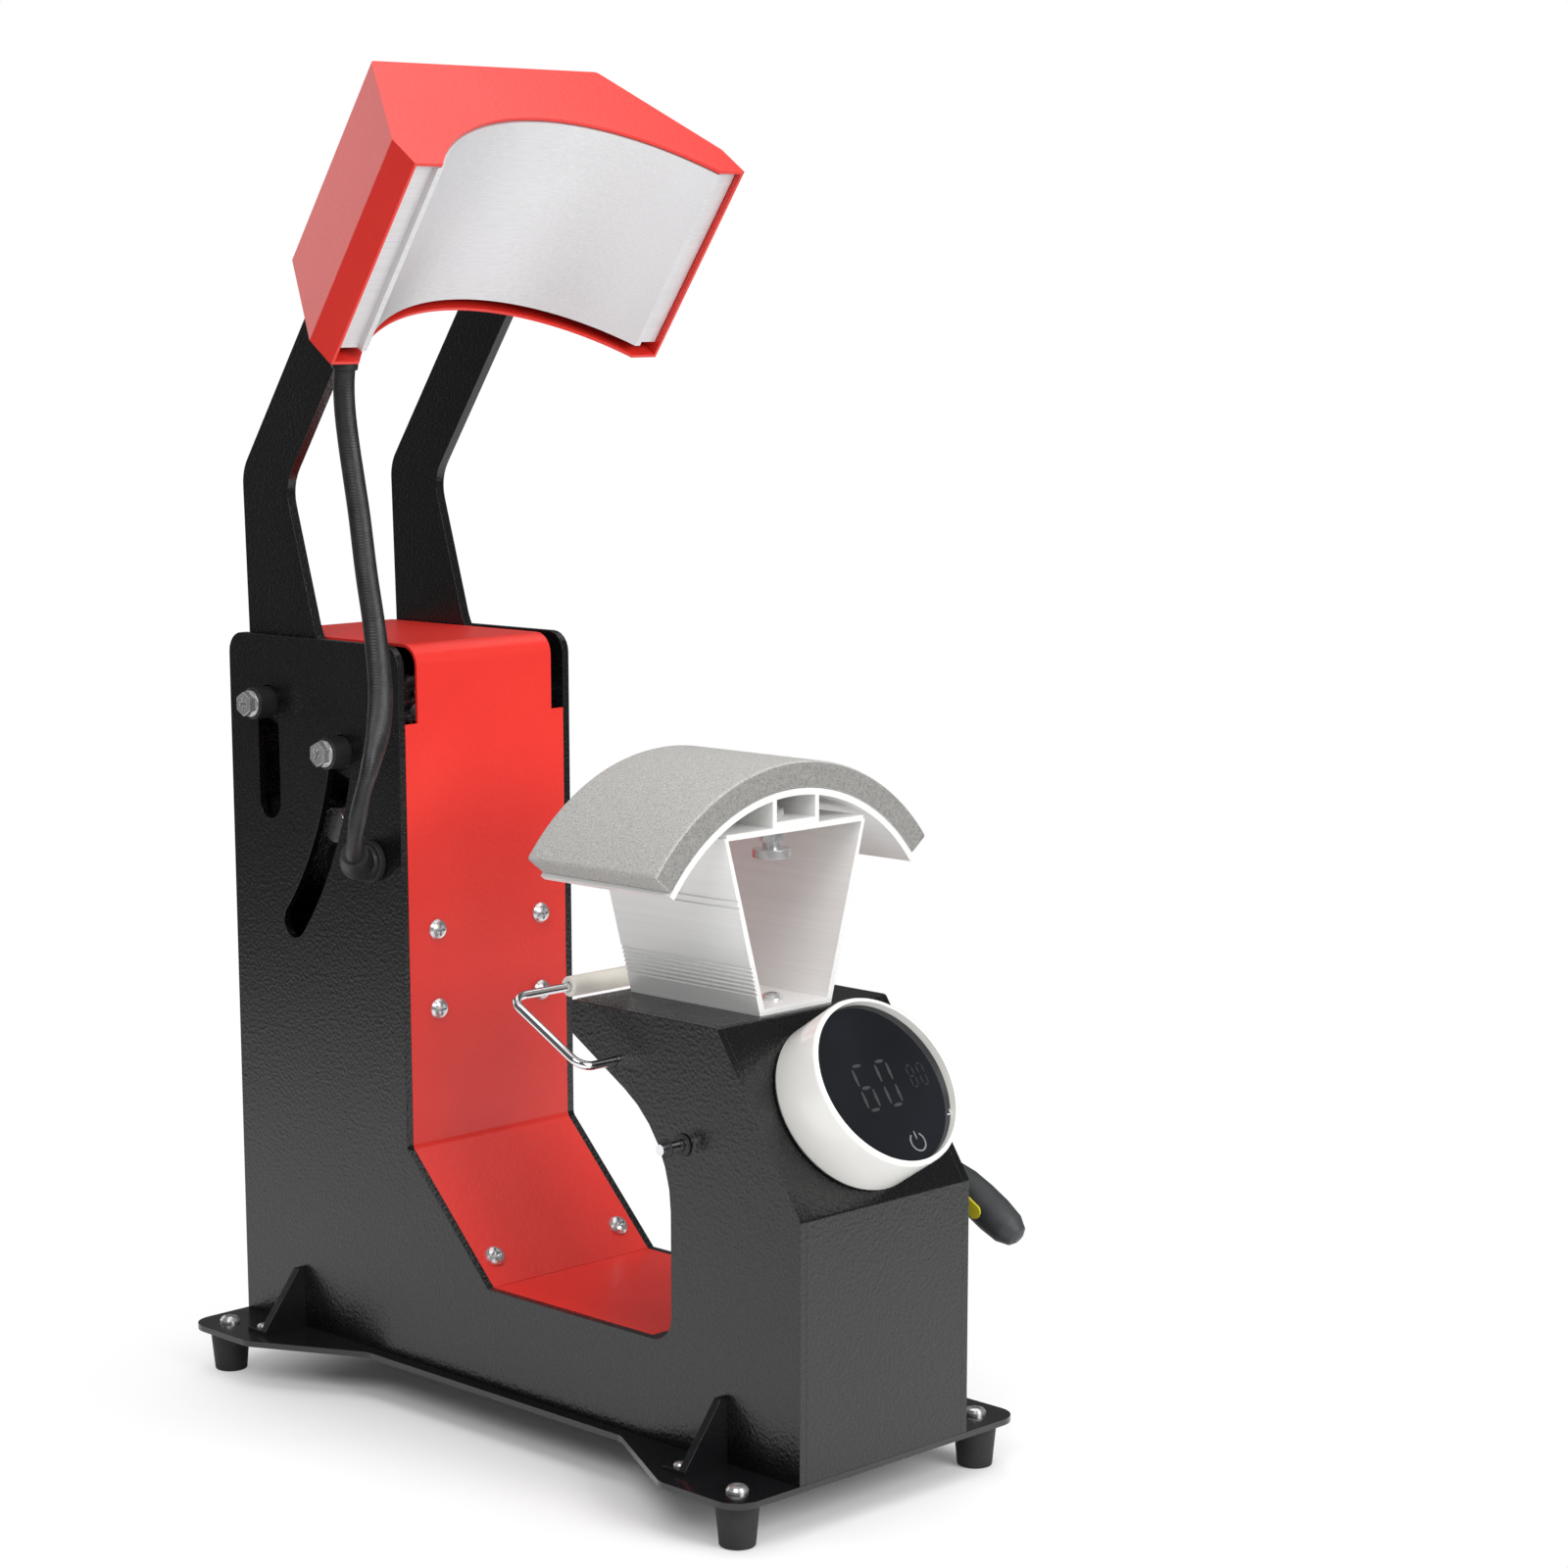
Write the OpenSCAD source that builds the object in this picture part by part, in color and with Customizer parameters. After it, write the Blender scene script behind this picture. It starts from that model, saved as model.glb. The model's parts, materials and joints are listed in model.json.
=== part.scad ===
// Cap heat press with a swing-up head, modelled open.
// Millimetres. X runs across the press, +X on the operator's right.
// Y runs from the operator (-Y) to the rear column, Z points up.
// Lengths along Y in the values below are measured from the front of the body.

/* [Body] */
// Length of the body from front to rear
body_len = 390; // [380:1:400]
// Width over the two side plates
body_w = 108; // [104:1:112]
// Height of the top of the rear column
column_top = 369; // [366:1:376]
// Depth of the rear column from front to back
column_d = 130; // [126:1:134]
// Height at which the ramp meets the rear column
ramp_z = 129; // [120:1:140]
// Length of the ramp from front to back
ramp_l = 57; // [50:1:65]
// Height of the floor of the throat
throat_z = 71; // [66:1:76]
// Rear face of the front column
throat_y = 79; // [76:1:84]
// Radius between the throat's floor and the front column
throat_r = 12; // [8:1:16]
// Radius of the arch under the shelf
arch_r = 60; // [50:1:64]
// Steepness of the underside of the shelf in degrees
arch_slope = 31; // [28:1:34]
// Radius of the rear column's top corners
corner_r = 10; // [6:1:14]
// Small radius of the pressed bends
bend_r = 4; // [3:0.5:6]
// Thickness of the side plates
side_t = 4; // [3:0.5:5]
// Thickness of the sheet covers
sheet_t = 1.5; // [1:0.25:2]
// Thickness of the front panel
panel_t = 2; // [1.5:0.25:2.5]

/* [Front column] */
// Height of the bend under the sloped panel
knee_z = 141; // [136:1:146]
// Depth of the sloped panel from front to back
slope_d = 50.5; // [46:0.5:54]
// Height of the shelf that carries the lower platen
shelf_z = 218; // [214:1:222]
// Rear edge of the shelf
shelf_y = 142.5; // [140:0.5:146]
// Height of the short drop behind the shelf
shelf_drop = 15; // [12:1:18]

/* [Base] */
// Height of the rubber feet
foot_h = 21; // [18:1:24]
// Diameter of a foot where it meets the plate
foot_d = 20; // [18:1:22]
// Diameter of a foot on the table
foot_tip_d = 16; // [14:1:18]
// Half spacing of the feet across the press
foot_x = 77; // [74:1:79]
// Distance of the feet from each end
foot_in = 15; // [13:1:18]
// Thickness of the base plate
base_t = 3; // [2:0.5:4]
// Half width of the base plate at its wings
wing_x = 92; // [90:1:95]
// Half width of the base plate between its wings
waist_x = 61; // [58:1:64]
// Length of each wing's full width
wing_y = 48; // [42:1:52]
// Where each wing has tapered to the waist
taper_y = 105; // [95:1:110]
// Radius of the base plate's corners
wing_r = 12; // [8:1:14]
// Height of the gussets
gusset_h = 30; // [26:1:34]
// Reach of the gussets from the side plate
gusset_reach = 26; // [22:1:28]
// Thickness of the gussets
gusset_t = 4; // [3:0.5:5]
// Distance of the gussets from each end
gusset_in = 46; // [42:1:50]

/* [Lower platen] */
// Depth of the platen from front to back
platen_d = 82; // [76:1:86]
// Front edge of the platen
platen_y = 54.5; // [53:0.5:58]
// Height of the pedestal
pedestal_h = 82; // [78:1:86]
// Width of the pedestal at its foot
pedestal_foot = 45; // [40:1:50]
// Width of the pedestal at its top
pedestal_top = 89; // [84:1:94]
// Wall of the pedestal
pedestal_t = 2.6; // [2.2:0.2:3.2]
// Height of the saddle's channel over the pedestal
channel_h = 13; // [12:1:15]
// Outside width of the saddle's channel
channel_w = 29; // [26:1:32]
// Radius of the pad's upper face
pad_r = 107.4; // [104:0.2:111]
// Thickness of the silicone pad
pad_t = 12; // [10:1:13]
// Half angle of the pad in degrees
pad_angle = 52.5; // [50:0.5:54]
// Thickness of the curved saddle
saddle_t = 3; // [2.5:0.5:4]

/* [Head] */
// Gap between the hot face and the pad when the press is closed
press_gap = 0.6; // [0.4:0.1:1]
// Half width of the hot face
hot_x = 83.2; // [81:0.2:84.5]
// Thickness of the heater block
heater_t = 8; // [6:0.5:9]
// Depth of the heater block
heater_d = 96; // [90:1:97]
// Depth of the head housing
head_d = 105; // [102:1:110]
// Distance of the head's front wall behind the platen's front edge
head_back = 1.5; // [0:0.5:4]
// Half width of the housing at its open side
head_x = 100.4; // [98:0.2:103]
// Half width of the housing at its top
head_top_x = 68.8; // [66:0.2:72]
// Height of the housing
head_h = 82.3; // [81:0.1:86]
// Height of the housing's upright side strips
strip_h = 18.5; // [16:0.5:21]
// Thickness of the insulation on the heater
wool_t = 5; // [3:0.5:6]

/* [Arms] */
// Angle through which the head swings in degrees
swing = 54.4; // [52:0.1:56]
// Height that the head drops while it swings
lift = 49; // [46:0.5:51]
// Distance of the rear pins from the rear of the body
pin_in = 30; // [29:0.5:34]
// Height of the rear pins over the pad's centre of curvature, closed
pin_rise = 66.6; // [64:0.2:69]
// Distance between the rear and the front pins
pin_link = 60.1; // [58:0.1:62]
// Angle of the front pins below the rear pins when open, in degrees
pin_angle = 19.3; // [17:0.1:21]
// Diameter of the pins
pin_d = 8; // [7:0.5:9]
// Diameter of the guide rollers
roller_d = 15.4; // [14:0.2:16.4]
// Radial clearance of a roller in its slot
slot_gap = 0.5; // [0.4:0.1:0.8]
// Distance that a roller stands out of the side plate
roller_out = 10; // [8:0.5:11]
// Thickness of the arms
arm_t = 5; // [4:0.5:6]
// Height of the arms over the rear pins when closed
arm_over = 51; // [50:0.5:53]
// Width of the upper arms
arm_w = 31; // [28:0.5:31]
// Clearance between an arm and its side plate
arm_gap = 0.7; // [0.5:0.1:1]

/* [Dial] */
// Diameter of the dial ring
dial_d = 80; // [76:1:84]
// Height of the dial ring over the sloped panel
dial_h = 30; // [26:1:32]
// Wall of the dial ring
dial_wall = 2.4; // [2:0.2:3.4]
// Depth of the glass below the rim of the dial ring
glass_in = 4; // [1:0.5:5]
// Thickness of the glass
glass_t = 2.2; // [1.5:0.1:3]
// Distance of the dial below the middle of the sloped panel
dial_down = 1.5; // [0:0.5:3]

/* [Tensioner] */
// Handle pivot from the front of the body
handle_y = 71; // [68:1:72]
// Handle pivot height
handle_z = 163; // [160:1:166]
// Angle of the handle below the horizontal at rest, in degrees
handle_angle = 37; // [30:1:42]
// Length of the grip
grip_l = 58; // [52:1:62]
// Largest diameter of the grip
grip_d = 18; // [16:0.5:20]
// Reach of the bare rod before the grip
rod_l = 36; // [32:1:40]
// Diameter of the handle's shaft and rod
rod_d = 5; // [4:0.5:6]
// Bail pivot from the front of the body
bail_y = 114; // [112:1:115]
// Bail pivot height
bail_z = 194; // [193:0.5:196]
// Angle of the bail above the horizontal at rest, in degrees
bail_angle = 27.5; // [22:0.5:34]
// Distance from the bail's pivot to its sleeve
bail_reach = 54; // [48:1:58]
// Distance that the bail's legs stand out of the side plates
bail_out = 20; // [16:1:22]
// Diameter of the bail wire
wire_d = 4; // [3:0.5:4.5]
// Diameter of the bail's sleeve
sleeve_d = 9.5; // [8:0.5:11]
// Length of the bail's sleeve
sleeve_l = 76; // [68:1:84]
// Radius of the cranks that link the handle and the bail
crank_r = 12; // [11:0.5:13]

/* [Fits] */
// Radial clearance of a turning pin in its hole
run_gap = 0.1; // [0.05:0.01:0.15]
// Radial clearance of a screw in its hole
screw_gap = 0.2; // [0.1:0.05:0.3]
// Gap beside a piece that moves past another
side_gap = 0.4; // [0.3:0.1:0.6]

/* [Hidden] */
$fn = 48;

// Rectangular sums that several pieces share
base_z = foot_h + base_t;
inner_x = body_w / 2 - side_t;
outer_x = body_w / 2;
rear_y = body_len;
column_y = rear_y - column_d;
ramp_y = column_y - ramp_l;
lip_z = shelf_z - shelf_drop;
arch_z = lip_z - (shelf_y - throat_y) * tan(arch_slope);

// Lower platen, from the shelf up
platen_mid = platen_y + platen_d / 2;
pedestal_z = shelf_z + pedestal_h;
saddle_r = pad_r - pad_t;
saddle_in_r = saddle_r - saddle_t;
arc_z = pedestal_z + channel_h - saddle_in_r;

lip_out = 1.5;
lip_t = 1.6;
lip_h = 7;

// Head, in its closed place
hot_r = pad_r + press_gap;
head_z = arc_z + sqrt(hot_r * hot_r - hot_x * hot_x);
head_y = platen_y + head_back;
head_rear = head_y + head_d;
head_top = head_z + head_h;
heater_y = head_y + sheet_t + 0.5;
flange_z = head_z + 3;
flange_t = 2.5;

// Guide pins, closed and open
pin_y = rear_y - pin_in;
pin_shut_z = arc_z + pin_rise;
pin_z = pin_shut_z + lift;
arm_z = pin_shut_z + arm_over;
arm_x = inner_x - arm_gap;
arm_in_x = arm_x - arm_t;
slot_r = roller_d / 2 + slot_gap;
roller_x = outer_x + roller_out;
lobe_r = 14;
elbow_back = 78;
elbow_in = 92;
front_pin_shut = [pin_y - pin_link * cos(pin_angle + swing),
    pin_shut_z - pin_link * sin(pin_angle + swing)];

// Notch for the arms in the column cover
notch_x = arm_in_x - 2;
notch_z = arm_z - 6;
notch_end = rear_y - 7;

// Screws, by shank diameter
m3 = 3;
m4 = 4;
m5 = 5;
m6 = 6;

// Sloped panel
slope_rise = shelf_z - knee_z;
slope_angle = atan2(slope_rise, slope_d);
slope_mid = [slope_d / 2 - dial_down * cos(slope_angle),
    (knee_z + shelf_z) / 2 - dial_down * sin(slope_angle)];
ring_round = 0.7;
ring_low = 0.6;
dial_reach = (dial_h - ring_low) * sin(slope_angle) + (dial_d / 2 - ring_round) * cos(slope_angle)
    - slope_mid[0];
ledge_z = dial_h - glass_in - glass_t;
ledge_w = 2;
board_drop = 6;
board_t = 1.6;
fitting_out = 3;

// The origin is at the middle of the whole press, on the table
front_y = -(rear_y + fitting_out - dial_reach) / 2;

// Places of repeated screws, as [x, y] or [x, z]
cover_screw_x = 33;
cover_screw_z = [ramp_z + 104, ramp_z + 65.5];
ramp_screw_x = 40;
ramp_screw_share = 0.81;
ramp_angle = atan2(ramp_z - throat_z, column_y - ramp_y);
gusset_screw_x = outer_x + gusset_reach - 5;
gusset_tab = 12;
board_screw_places = [for (x = [-30, 30], y = [28, 62]) [x, y]];
dial_screw_x = 24;
foot_places = [for (sx = [-1, 1], y = [foot_in, rear_y - foot_in]) [sx * foot_x, y]];
gusset_places = [for (sx = [-1, 1], y = [gusset_in, rear_y - gusset_in]) [sx, y]];
head_screw_places = [for (x = [-34, 34], y = [15, 79]) [x, head_y + y]];
stud_places = [for (x = [-25, 25], y = [22, 66]) [x, heater_y + y]];
terminal_x = 60;
bolt_places = [platen_y + 15, platen_y + platen_d - 15];
side_screws = [[column_y + 12, column_top - 84], [column_y + 25, column_top - 110]];
rear_screw_x = inner_x - 7;
rear_screw_z = [base_z + 14, (base_z + column_top) / 2, column_top - 30];
rear_screws = [for (x = [-rear_screw_x, rear_screw_x], z = rear_screw_z) [x, z]];

// Fine grooves on the pedestal, as shares of its height
rib_shares = concat([for (i = [0:6]) 0.12 + i * 0.024], [0.6, 0.64]);

// Inside the head
arm_in = 82;
arm_bolt_y = [head_rear - 20, head_rear - 68];
bracket_z = head_top - sheet_t;
gland_place = [-58, head_z + 38];

// Cranks and the bend of the handle's shaft
rod_turn = 8;
grip_hole = 30;
collar_l = 7;
handle_out = 80.5;
crank_x = -28;
crank_pin_d = 5;
groove_d = 3.6;
crank_angle = 146;

// Springs, tie bar and magnet inside the column
spring_x = 34;
spring_d = 11;
spring_wire = 1.6;
spring_curls = 26;
curl_rings = 8;
wire_sides = 6;
anchor_y = column_y + sheet_t + 8;
collar_half = 6;
bar_back = 67;
bar_drop = 59;
bar_y = column_y + bar_back;
bar_z = pin_z - bar_drop;
bar_d = 17;
bar_half = arm_in_x - 3.5;
bar_bracket_x = 26;
keeper_d = 26;
keeper_t = 6;
keeper_drop = 25;
magnet_d = 30;
magnet_h = 36;
magnet_z = pin_shut_z - keeper_drop - keeper_t / 2 - side_gap;
magnet_foot = magnet_z - magnet_h;
shelf_half = 20;
shelf_t = 4;
shelf_back = 24;
magnet_screw_x = 12;
magnet_screw_z = magnet_foot - shelf_back / 2 - shelf_t / 2;

// Rear fittings
inlet_z = base_z + 32;
inlet_w = 28;
inlet_h = 20;
switch_z = inlet_z + 50;
switch_w = 21;
switch_h = 15;
rocker_tilt = 7;
switch_well = switch_w / 2 - 2;
pivot_d = 2.4;
pivot_in = 1.4;

// Route of the head's cable, from the gland on the head to the grommet on the body
cable_d = 10;
cable_route = [[-58, 279.33, 518.16], [-58, 283.4, 512.7], [-57.9, 287.6, 504.5],
    [-57.7, 290.2, 492], [-57.2, 290.6, 478], [-56.6, 289, 462], [-56.6, 285.6, 445],
    [-57.6, 281, 428], [-59.6, 274.5, 403], [-61.2, 267.5, 378], [-64, 260.6, 351],
    [-69, 256.6, 332], [-75, 255.4, 316], [-78.8, 257.3, 302], [-79.2, 261, 289.5],
    [-76.6, 266.4, 279], [-71.5, 273, 271], [-65.5, 279.3, 267], [-62, 281, 266], [-58, 281, 266]];
cable_last = len(cable_route) - 1;
cable_sides = 10;

// Two-dimensional helpers

// The arc that rounds corner b, which lies between a and c, with radius r
function corner_arc(a, b, c, r, steps = 6) =
    r <= 0 ? [b] :
    let (u = (a - b) / norm(a - b),
        w = (c - b) / norm(c - b),
        half = acos(max(-1, min(1, u * w))) / 2)
    half > 89.5 ? [b] :
    let (m = b + (u + w) / norm(u + w) * r / sin(half),
        p = b + u * r / tan(half) - m,
        q = b + w * r / tan(half) - m,
        start = atan2(p[1], p[0]),
        raw = atan2(q[1], q[0]) - start,
        turn = raw > 180 ? raw - 360 : raw < -180 ? raw + 360 : raw)
    [for (i = [0:steps]) m + r * [cos(start + turn * i / steps), sin(start + turn * i / steps)]];

function xy(p) = [p[0], p[1]];

// A closed outline of [x, y, radius] corners with its corners rounded
function rounded(p) = [for (i = [0:len(p) - 1])
    each corner_arc(xy(p[(i + len(p) - 1) % len(p)]), xy(p[i]), xy(p[(i + 1) % len(p)]), p[i][2])];

// An open line of [x, y, radius] corners with its inner corners rounded
function rounded_line(p) = [xy(p[0]),
    for (i = [1:len(p) - 2]) each corner_arc(xy(p[i - 1]), xy(p[i]), xy(p[i + 1]), p[i][2]),
    xy(p[len(p) - 1])];

function left_of(a, b) = let (d = (b - a) / norm(b - a)) [-d[1], d[0]];

// An open line moved sideways by d, to its left
function beside(p, d) = [for (i = [0:len(p) - 1])
    let (n = i == 0 ? left_of(p[0], p[1]) : left_of(p[i - 1], p[i]),
        m = i == len(p) - 1 ? n : left_of(p[i], p[i + 1]))
    p[i] + d * (n + m) / (1 + n * m)];

// The outline of a sheet of thickness t that lies to the left of a line
function sheet_of(p, t) = let (q = beside(p, t))
    concat(p, [for (i = [len(q) - 1:-1:0]) q[i]]);

// Outlines in the YZ plane

side_corners = [[0, base_z, 0], [0, knee_z, panel_t + 0.5],
    [slope_d, shelf_z, panel_t + 0.5], [shelf_y, shelf_z, 1],
    [shelf_y, lip_z, 2], [throat_y, arch_z, arch_r], [throat_y, throat_z, throat_r],
    [ramp_y, throat_z, 0], [column_y, ramp_z, bend_r], [column_y, column_top, corner_r],
    [rear_y, column_top, corner_r], [rear_y, base_z, 0]];

cover_line = rounded_line([[rear_y, column_top - corner_r - 4, 0], [rear_y, column_top, corner_r],
    [column_y, column_top, corner_r], [column_y, ramp_z, bend_r], [ramp_y, throat_z, 0]]);

// The front pin's place while the head closes, t from 0 to 1
function front_pin(t) = [pin_y - pin_link * cos(pin_angle + swing * t),
    pin_z - lift * t - pin_link * sin(pin_angle + swing * t)];

// Three-dimensional helpers

module press() translate([0, front_y, 0]) children();

// A flat piece in the YZ plane, from x0 to x1
module slab_x(x0, x1) translate([x0, 0, 0]) rotate([90, 0, 90]) linear_extrude(x1 - x0) children();

// A flat piece in the XZ plane, from y0 to y1
module slab_y(y0, y1) translate([0, y1, 0]) rotate([90, 0, 0]) linear_extrude(y1 - y0) children();

module rod_x(y, z, x0, x1, d) translate([x0, y, z]) rotate([0, 90, 0]) cylinder(h = x1 - x0, d = d);

module rod_y(x, z, y0, y1, d) translate([x, y0, z]) rotate([-90, 0, 0]) cylinder(h = y1 - y0, d = d);

module box(a, b) translate(a) cube(b - a);

module both_sides() {
    children();
    mirror([1, 0, 0]) children();
}

// A pan head screw along +Z with its head's seat at the origin
module pan_screw(d, length) {
    head_t = d * 0.6;
    difference() {
        rotate_extrude() polygon([[0, 0], [d, 0], [d, head_t * 0.35], [d * 0.8, head_t * 0.8],
            [d * 0.5, head_t], [0, head_t]]);
        translate([0, 0, head_t * 0.5]) {
            box([-d * 0.6, -d * 0.12, 0], [d * 0.6, d * 0.12, head_t]);
            box([-d * 0.12, -d * 0.6, 0], [d * 0.12, d * 0.6, head_t]);
        }
    }
    translate([0, 0, -length]) cylinder(h = length, d = d);
}

// A quarter or part ring of wire in the XY plane, from angle a through angle turn
module wire_bend(r, d, turn) rotate_extrude(angle = turn) translate([r, 0]) circle(d = d);

// Puts a piece that is drawn in the closed place at rest, with the head up
module head_up() translate([0, pin_y, pin_z]) rotate([-swing, 0, 0])
    translate([0, -pin_y, -pin_shut_z]) children();

module on_slope() translate([0, slope_mid[0], slope_mid[1]]) rotate([slope_angle, 0, 0]) children();

// The handle's frame: X along its shaft, the grip towards -Y
module at_handle() translate([0, handle_y, handle_z]) rotate([handle_angle, 0, 0]) children();

// The bail's frame: X along its pivots, the sleeve towards +Y
module at_bail() translate([0, bail_y, bail_z]) rotate([bail_angle, 0, 0]) children();

// Part of a ring about the pad's centre of curvature, in the XZ plane
module arc_band(r0, r1, half_angle) {
    reach = r1 * 2;
    intersection() {
        translate([0, arc_z]) difference() {
            circle(r = r1, $fn = 180);
            circle(r = r0, $fn = 180);
        }
        polygon([[0, arc_z], [-reach * sin(half_angle), arc_z + reach * cos(half_angle)],
            [0, arc_z + reach * 2], [reach * sin(half_angle), arc_z + reach * cos(half_angle)]]);
    }
}

// Base

module base_outline() {
    half = [[0, 0, 0], [wing_x, 0, wing_r], [wing_x, wing_y, wing_r], [waist_x, taper_y, wing_r],
        [waist_x, rear_y - taper_y, wing_r], [wing_x, rear_y - wing_y, wing_r],
        [wing_x, rear_y, wing_r], [0, rear_y, 0]];
    line = rounded_line(half);
    polygon(concat(line, [for (i = [len(line) - 1:-1:0]) [-line[i][0], line[i][1]]]));
}

module base_plate() color("#1c1c1e") press() difference() {
    translate([0, 0, foot_h]) linear_extrude(base_t) base_outline();
    for (p = foot_places) translate([p[0], p[1], 0]) cylinder(h = base_z * 2, d = m5 + 2 * screw_gap);
    for (g = gusset_places) translate([g[0] * gusset_screw_x, g[1] + gusset_tab / 2, 0])
        cylinder(h = base_z * 2, d = m3 + 2 * screw_gap);
    for (p = board_screw_places) translate([p[0], p[1], 0])
        cylinder(h = base_z * 2, d = m3 + 2 * screw_gap);
}

module rubber_feet() color("#202020") press() for (p = foot_places) translate([p[0], p[1], 0])
    difference() {
        cylinder(h = foot_h, d1 = foot_tip_d, d2 = foot_d);
        translate([0, 0, 6]) cylinder(h = foot_h, d = m5 + 2 * screw_gap);
    }

module base_screws() color("silver") press() {
    for (p = foot_places) translate([p[0], p[1], base_z]) pan_screw(m5, base_t + 11);
    for (g = gusset_places)
        translate([g[0] * gusset_screw_x, g[1] + gusset_tab / 2, base_z + gusset_t / 2])
            pan_screw(m3, base_t + gusset_t / 2);
    for (p = board_screw_places) translate([p[0], p[1], foot_h]) rotate([180, 0, 0])
        pan_screw(m3, base_t + 5);
}

module gussets() color("#1c1c1e") press() for (g = gusset_places) translate([0, g[1], base_z])
    mirror([g[0] < 0 ? 1 : 0, 0, 0]) difference() {
        union() {
            slab_y(-gusset_t / 2, gusset_t / 2) polygon([[outer_x, 0], [outer_x + gusset_reach, 0],
                [outer_x + gusset_reach, 2], [outer_x + 4, gusset_h], [outer_x, gusset_h]]);
            box([gusset_screw_x - 5, 0, 0], [outer_x + gusset_reach, gusset_tab, gusset_t / 2]);
        }
        translate([gusset_screw_x, gusset_tab / 2, -1])
            cylinder(h = gusset_t + 2, d = m3 + 2 * screw_gap);
    }

// Side plates

module slot_cuts() {
    translate([pin_y, pin_z]) circle(r = slot_r);
    translate([pin_y, pin_shut_z]) circle(r = slot_r);
    translate([pin_y - slot_r, pin_shut_z]) square([2 * slot_r, lift]);
    path = [for (i = [0:16]) front_pin(i / 16)];
    translate(path[0]) circle(r = slot_r);
    translate(path[16]) circle(r = slot_r);
    polygon(concat(beside(path, slot_r), [for (i = [16:-1:0]) beside(path, -slot_r)[i]]));
}

module side_outline() difference() {
    polygon(rounded(side_corners));
    slot_cuts();
    translate([handle_y, handle_z]) circle(d = rod_d + 4);
    translate([bail_y, bail_z]) circle(d = wire_d + 2 * run_gap);
}

module left_side_plate() color("#1a1a1c") press() difference() {
    slab_x(-outer_x, -inner_x) side_outline();
    rod_x(cable_route[cable_last][1], cable_route[cable_last][2], -outer_x - 1, -inner_x + 1, 15);
}

module right_side_plate() color("#1a1a1c") press() slab_x(inner_x, outer_x) difference() {
    side_outline();
    for (p = side_screws) translate(p) circle(d = m3 + 2 * screw_gap);
}

// Bent sheets between the side plates

module sheet_x(half, line, t) slab_x(-half, half) polygon(sheet_of(line, t));

module front_panel() color("#1a1a1c") press() difference() {
    sheet_x(inner_x, rounded_line([[0, base_z, 0], [0, knee_z, panel_t + 0.5],
        [slope_d, shelf_z, panel_t + 0.5], [shelf_y, shelf_z, 0]]), -panel_t);
    on_slope() translate([0, 0, -10]) cylinder(h = 20, d = 24);
    for (x = [-dial_screw_x, dial_screw_x]) on_slope() translate([x, 0, -10])
        cylinder(h = 20, d = m3 + 2 * screw_gap);
    for (y = bolt_places) translate([0, y, shelf_z - 10]) cylinder(h = 20, d = m5 + 2 * screw_gap);
}

module throat_liner() color("#1a1a1c") press()
    sheet_x(inner_x, rounded_line([[shelf_y, shelf_z - panel_t, 0], [shelf_y, lip_z, 2],
        [throat_y, arch_z, arch_r], [throat_y, throat_z, throat_r],
        [throat_y + throat_r + 4, throat_z, 0]]), -sheet_t);

module column_cover() color("#e03a32") press() difference() {
    sheet_x(inner_x, cover_line, sheet_t);
    both_sides() box([notch_x, column_y - 1, notch_z], [inner_x + 1, notch_end, column_top + 1]);
    for (x = [-cover_screw_x, cover_screw_x], z = cover_screw_z)
        rod_y(x, z, column_y - 1, column_y + 5, m5 + 2 * screw_gap);
    for (x = [-ramp_screw_x, ramp_screw_x]) on_ramp(ramp_screw_share, x) translate([0, 0, -5])
        cylinder(h = 10, d = m5 + 2 * screw_gap);
}

// Frame on the ramp, with its seat's normal along +Z, at a share of the ramp's length
module on_ramp(share, x)
    translate([x, column_y + (ramp_y - column_y) * share, ramp_z + (throat_z - ramp_z) * share])
        rotate([ramp_angle, 0, 0]) children();

module floor_cover() color("#e03a32") press()
    sheet_x(inner_x, [[ramp_y, throat_z], [throat_y + throat_r + 4, throat_z]], sheet_t);

module rear_cover() color("#1a1a1c") press() difference() {
    box([-inner_x, rear_y - sheet_t, base_z], [inner_x, rear_y, column_top - corner_r - 4]);
    box([-inlet_w / 2, rear_y - 5, inlet_z - inlet_h / 2],
        [inlet_w / 2, rear_y + 1, inlet_z + inlet_h / 2]);
    box([-switch_w / 2, rear_y - 5, switch_z - switch_h / 2],
        [switch_w / 2, rear_y + 1, switch_z + switch_h / 2]);
    for (p = rear_screws) rod_y(p[0], p[1], rear_y - 5, rear_y + 1, m4 + 2 * screw_gap);
    for (x = [-bar_bracket_x, bar_bracket_x]) rod_y(x, bar_z, rear_y - 5, rear_y + 1, m4 + 2 * screw_gap);
    for (x = [-magnet_screw_x, magnet_screw_x])
        rod_y(x, magnet_screw_z, rear_y - 5, rear_y + 1, m4 + 2 * screw_gap);
}

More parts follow.
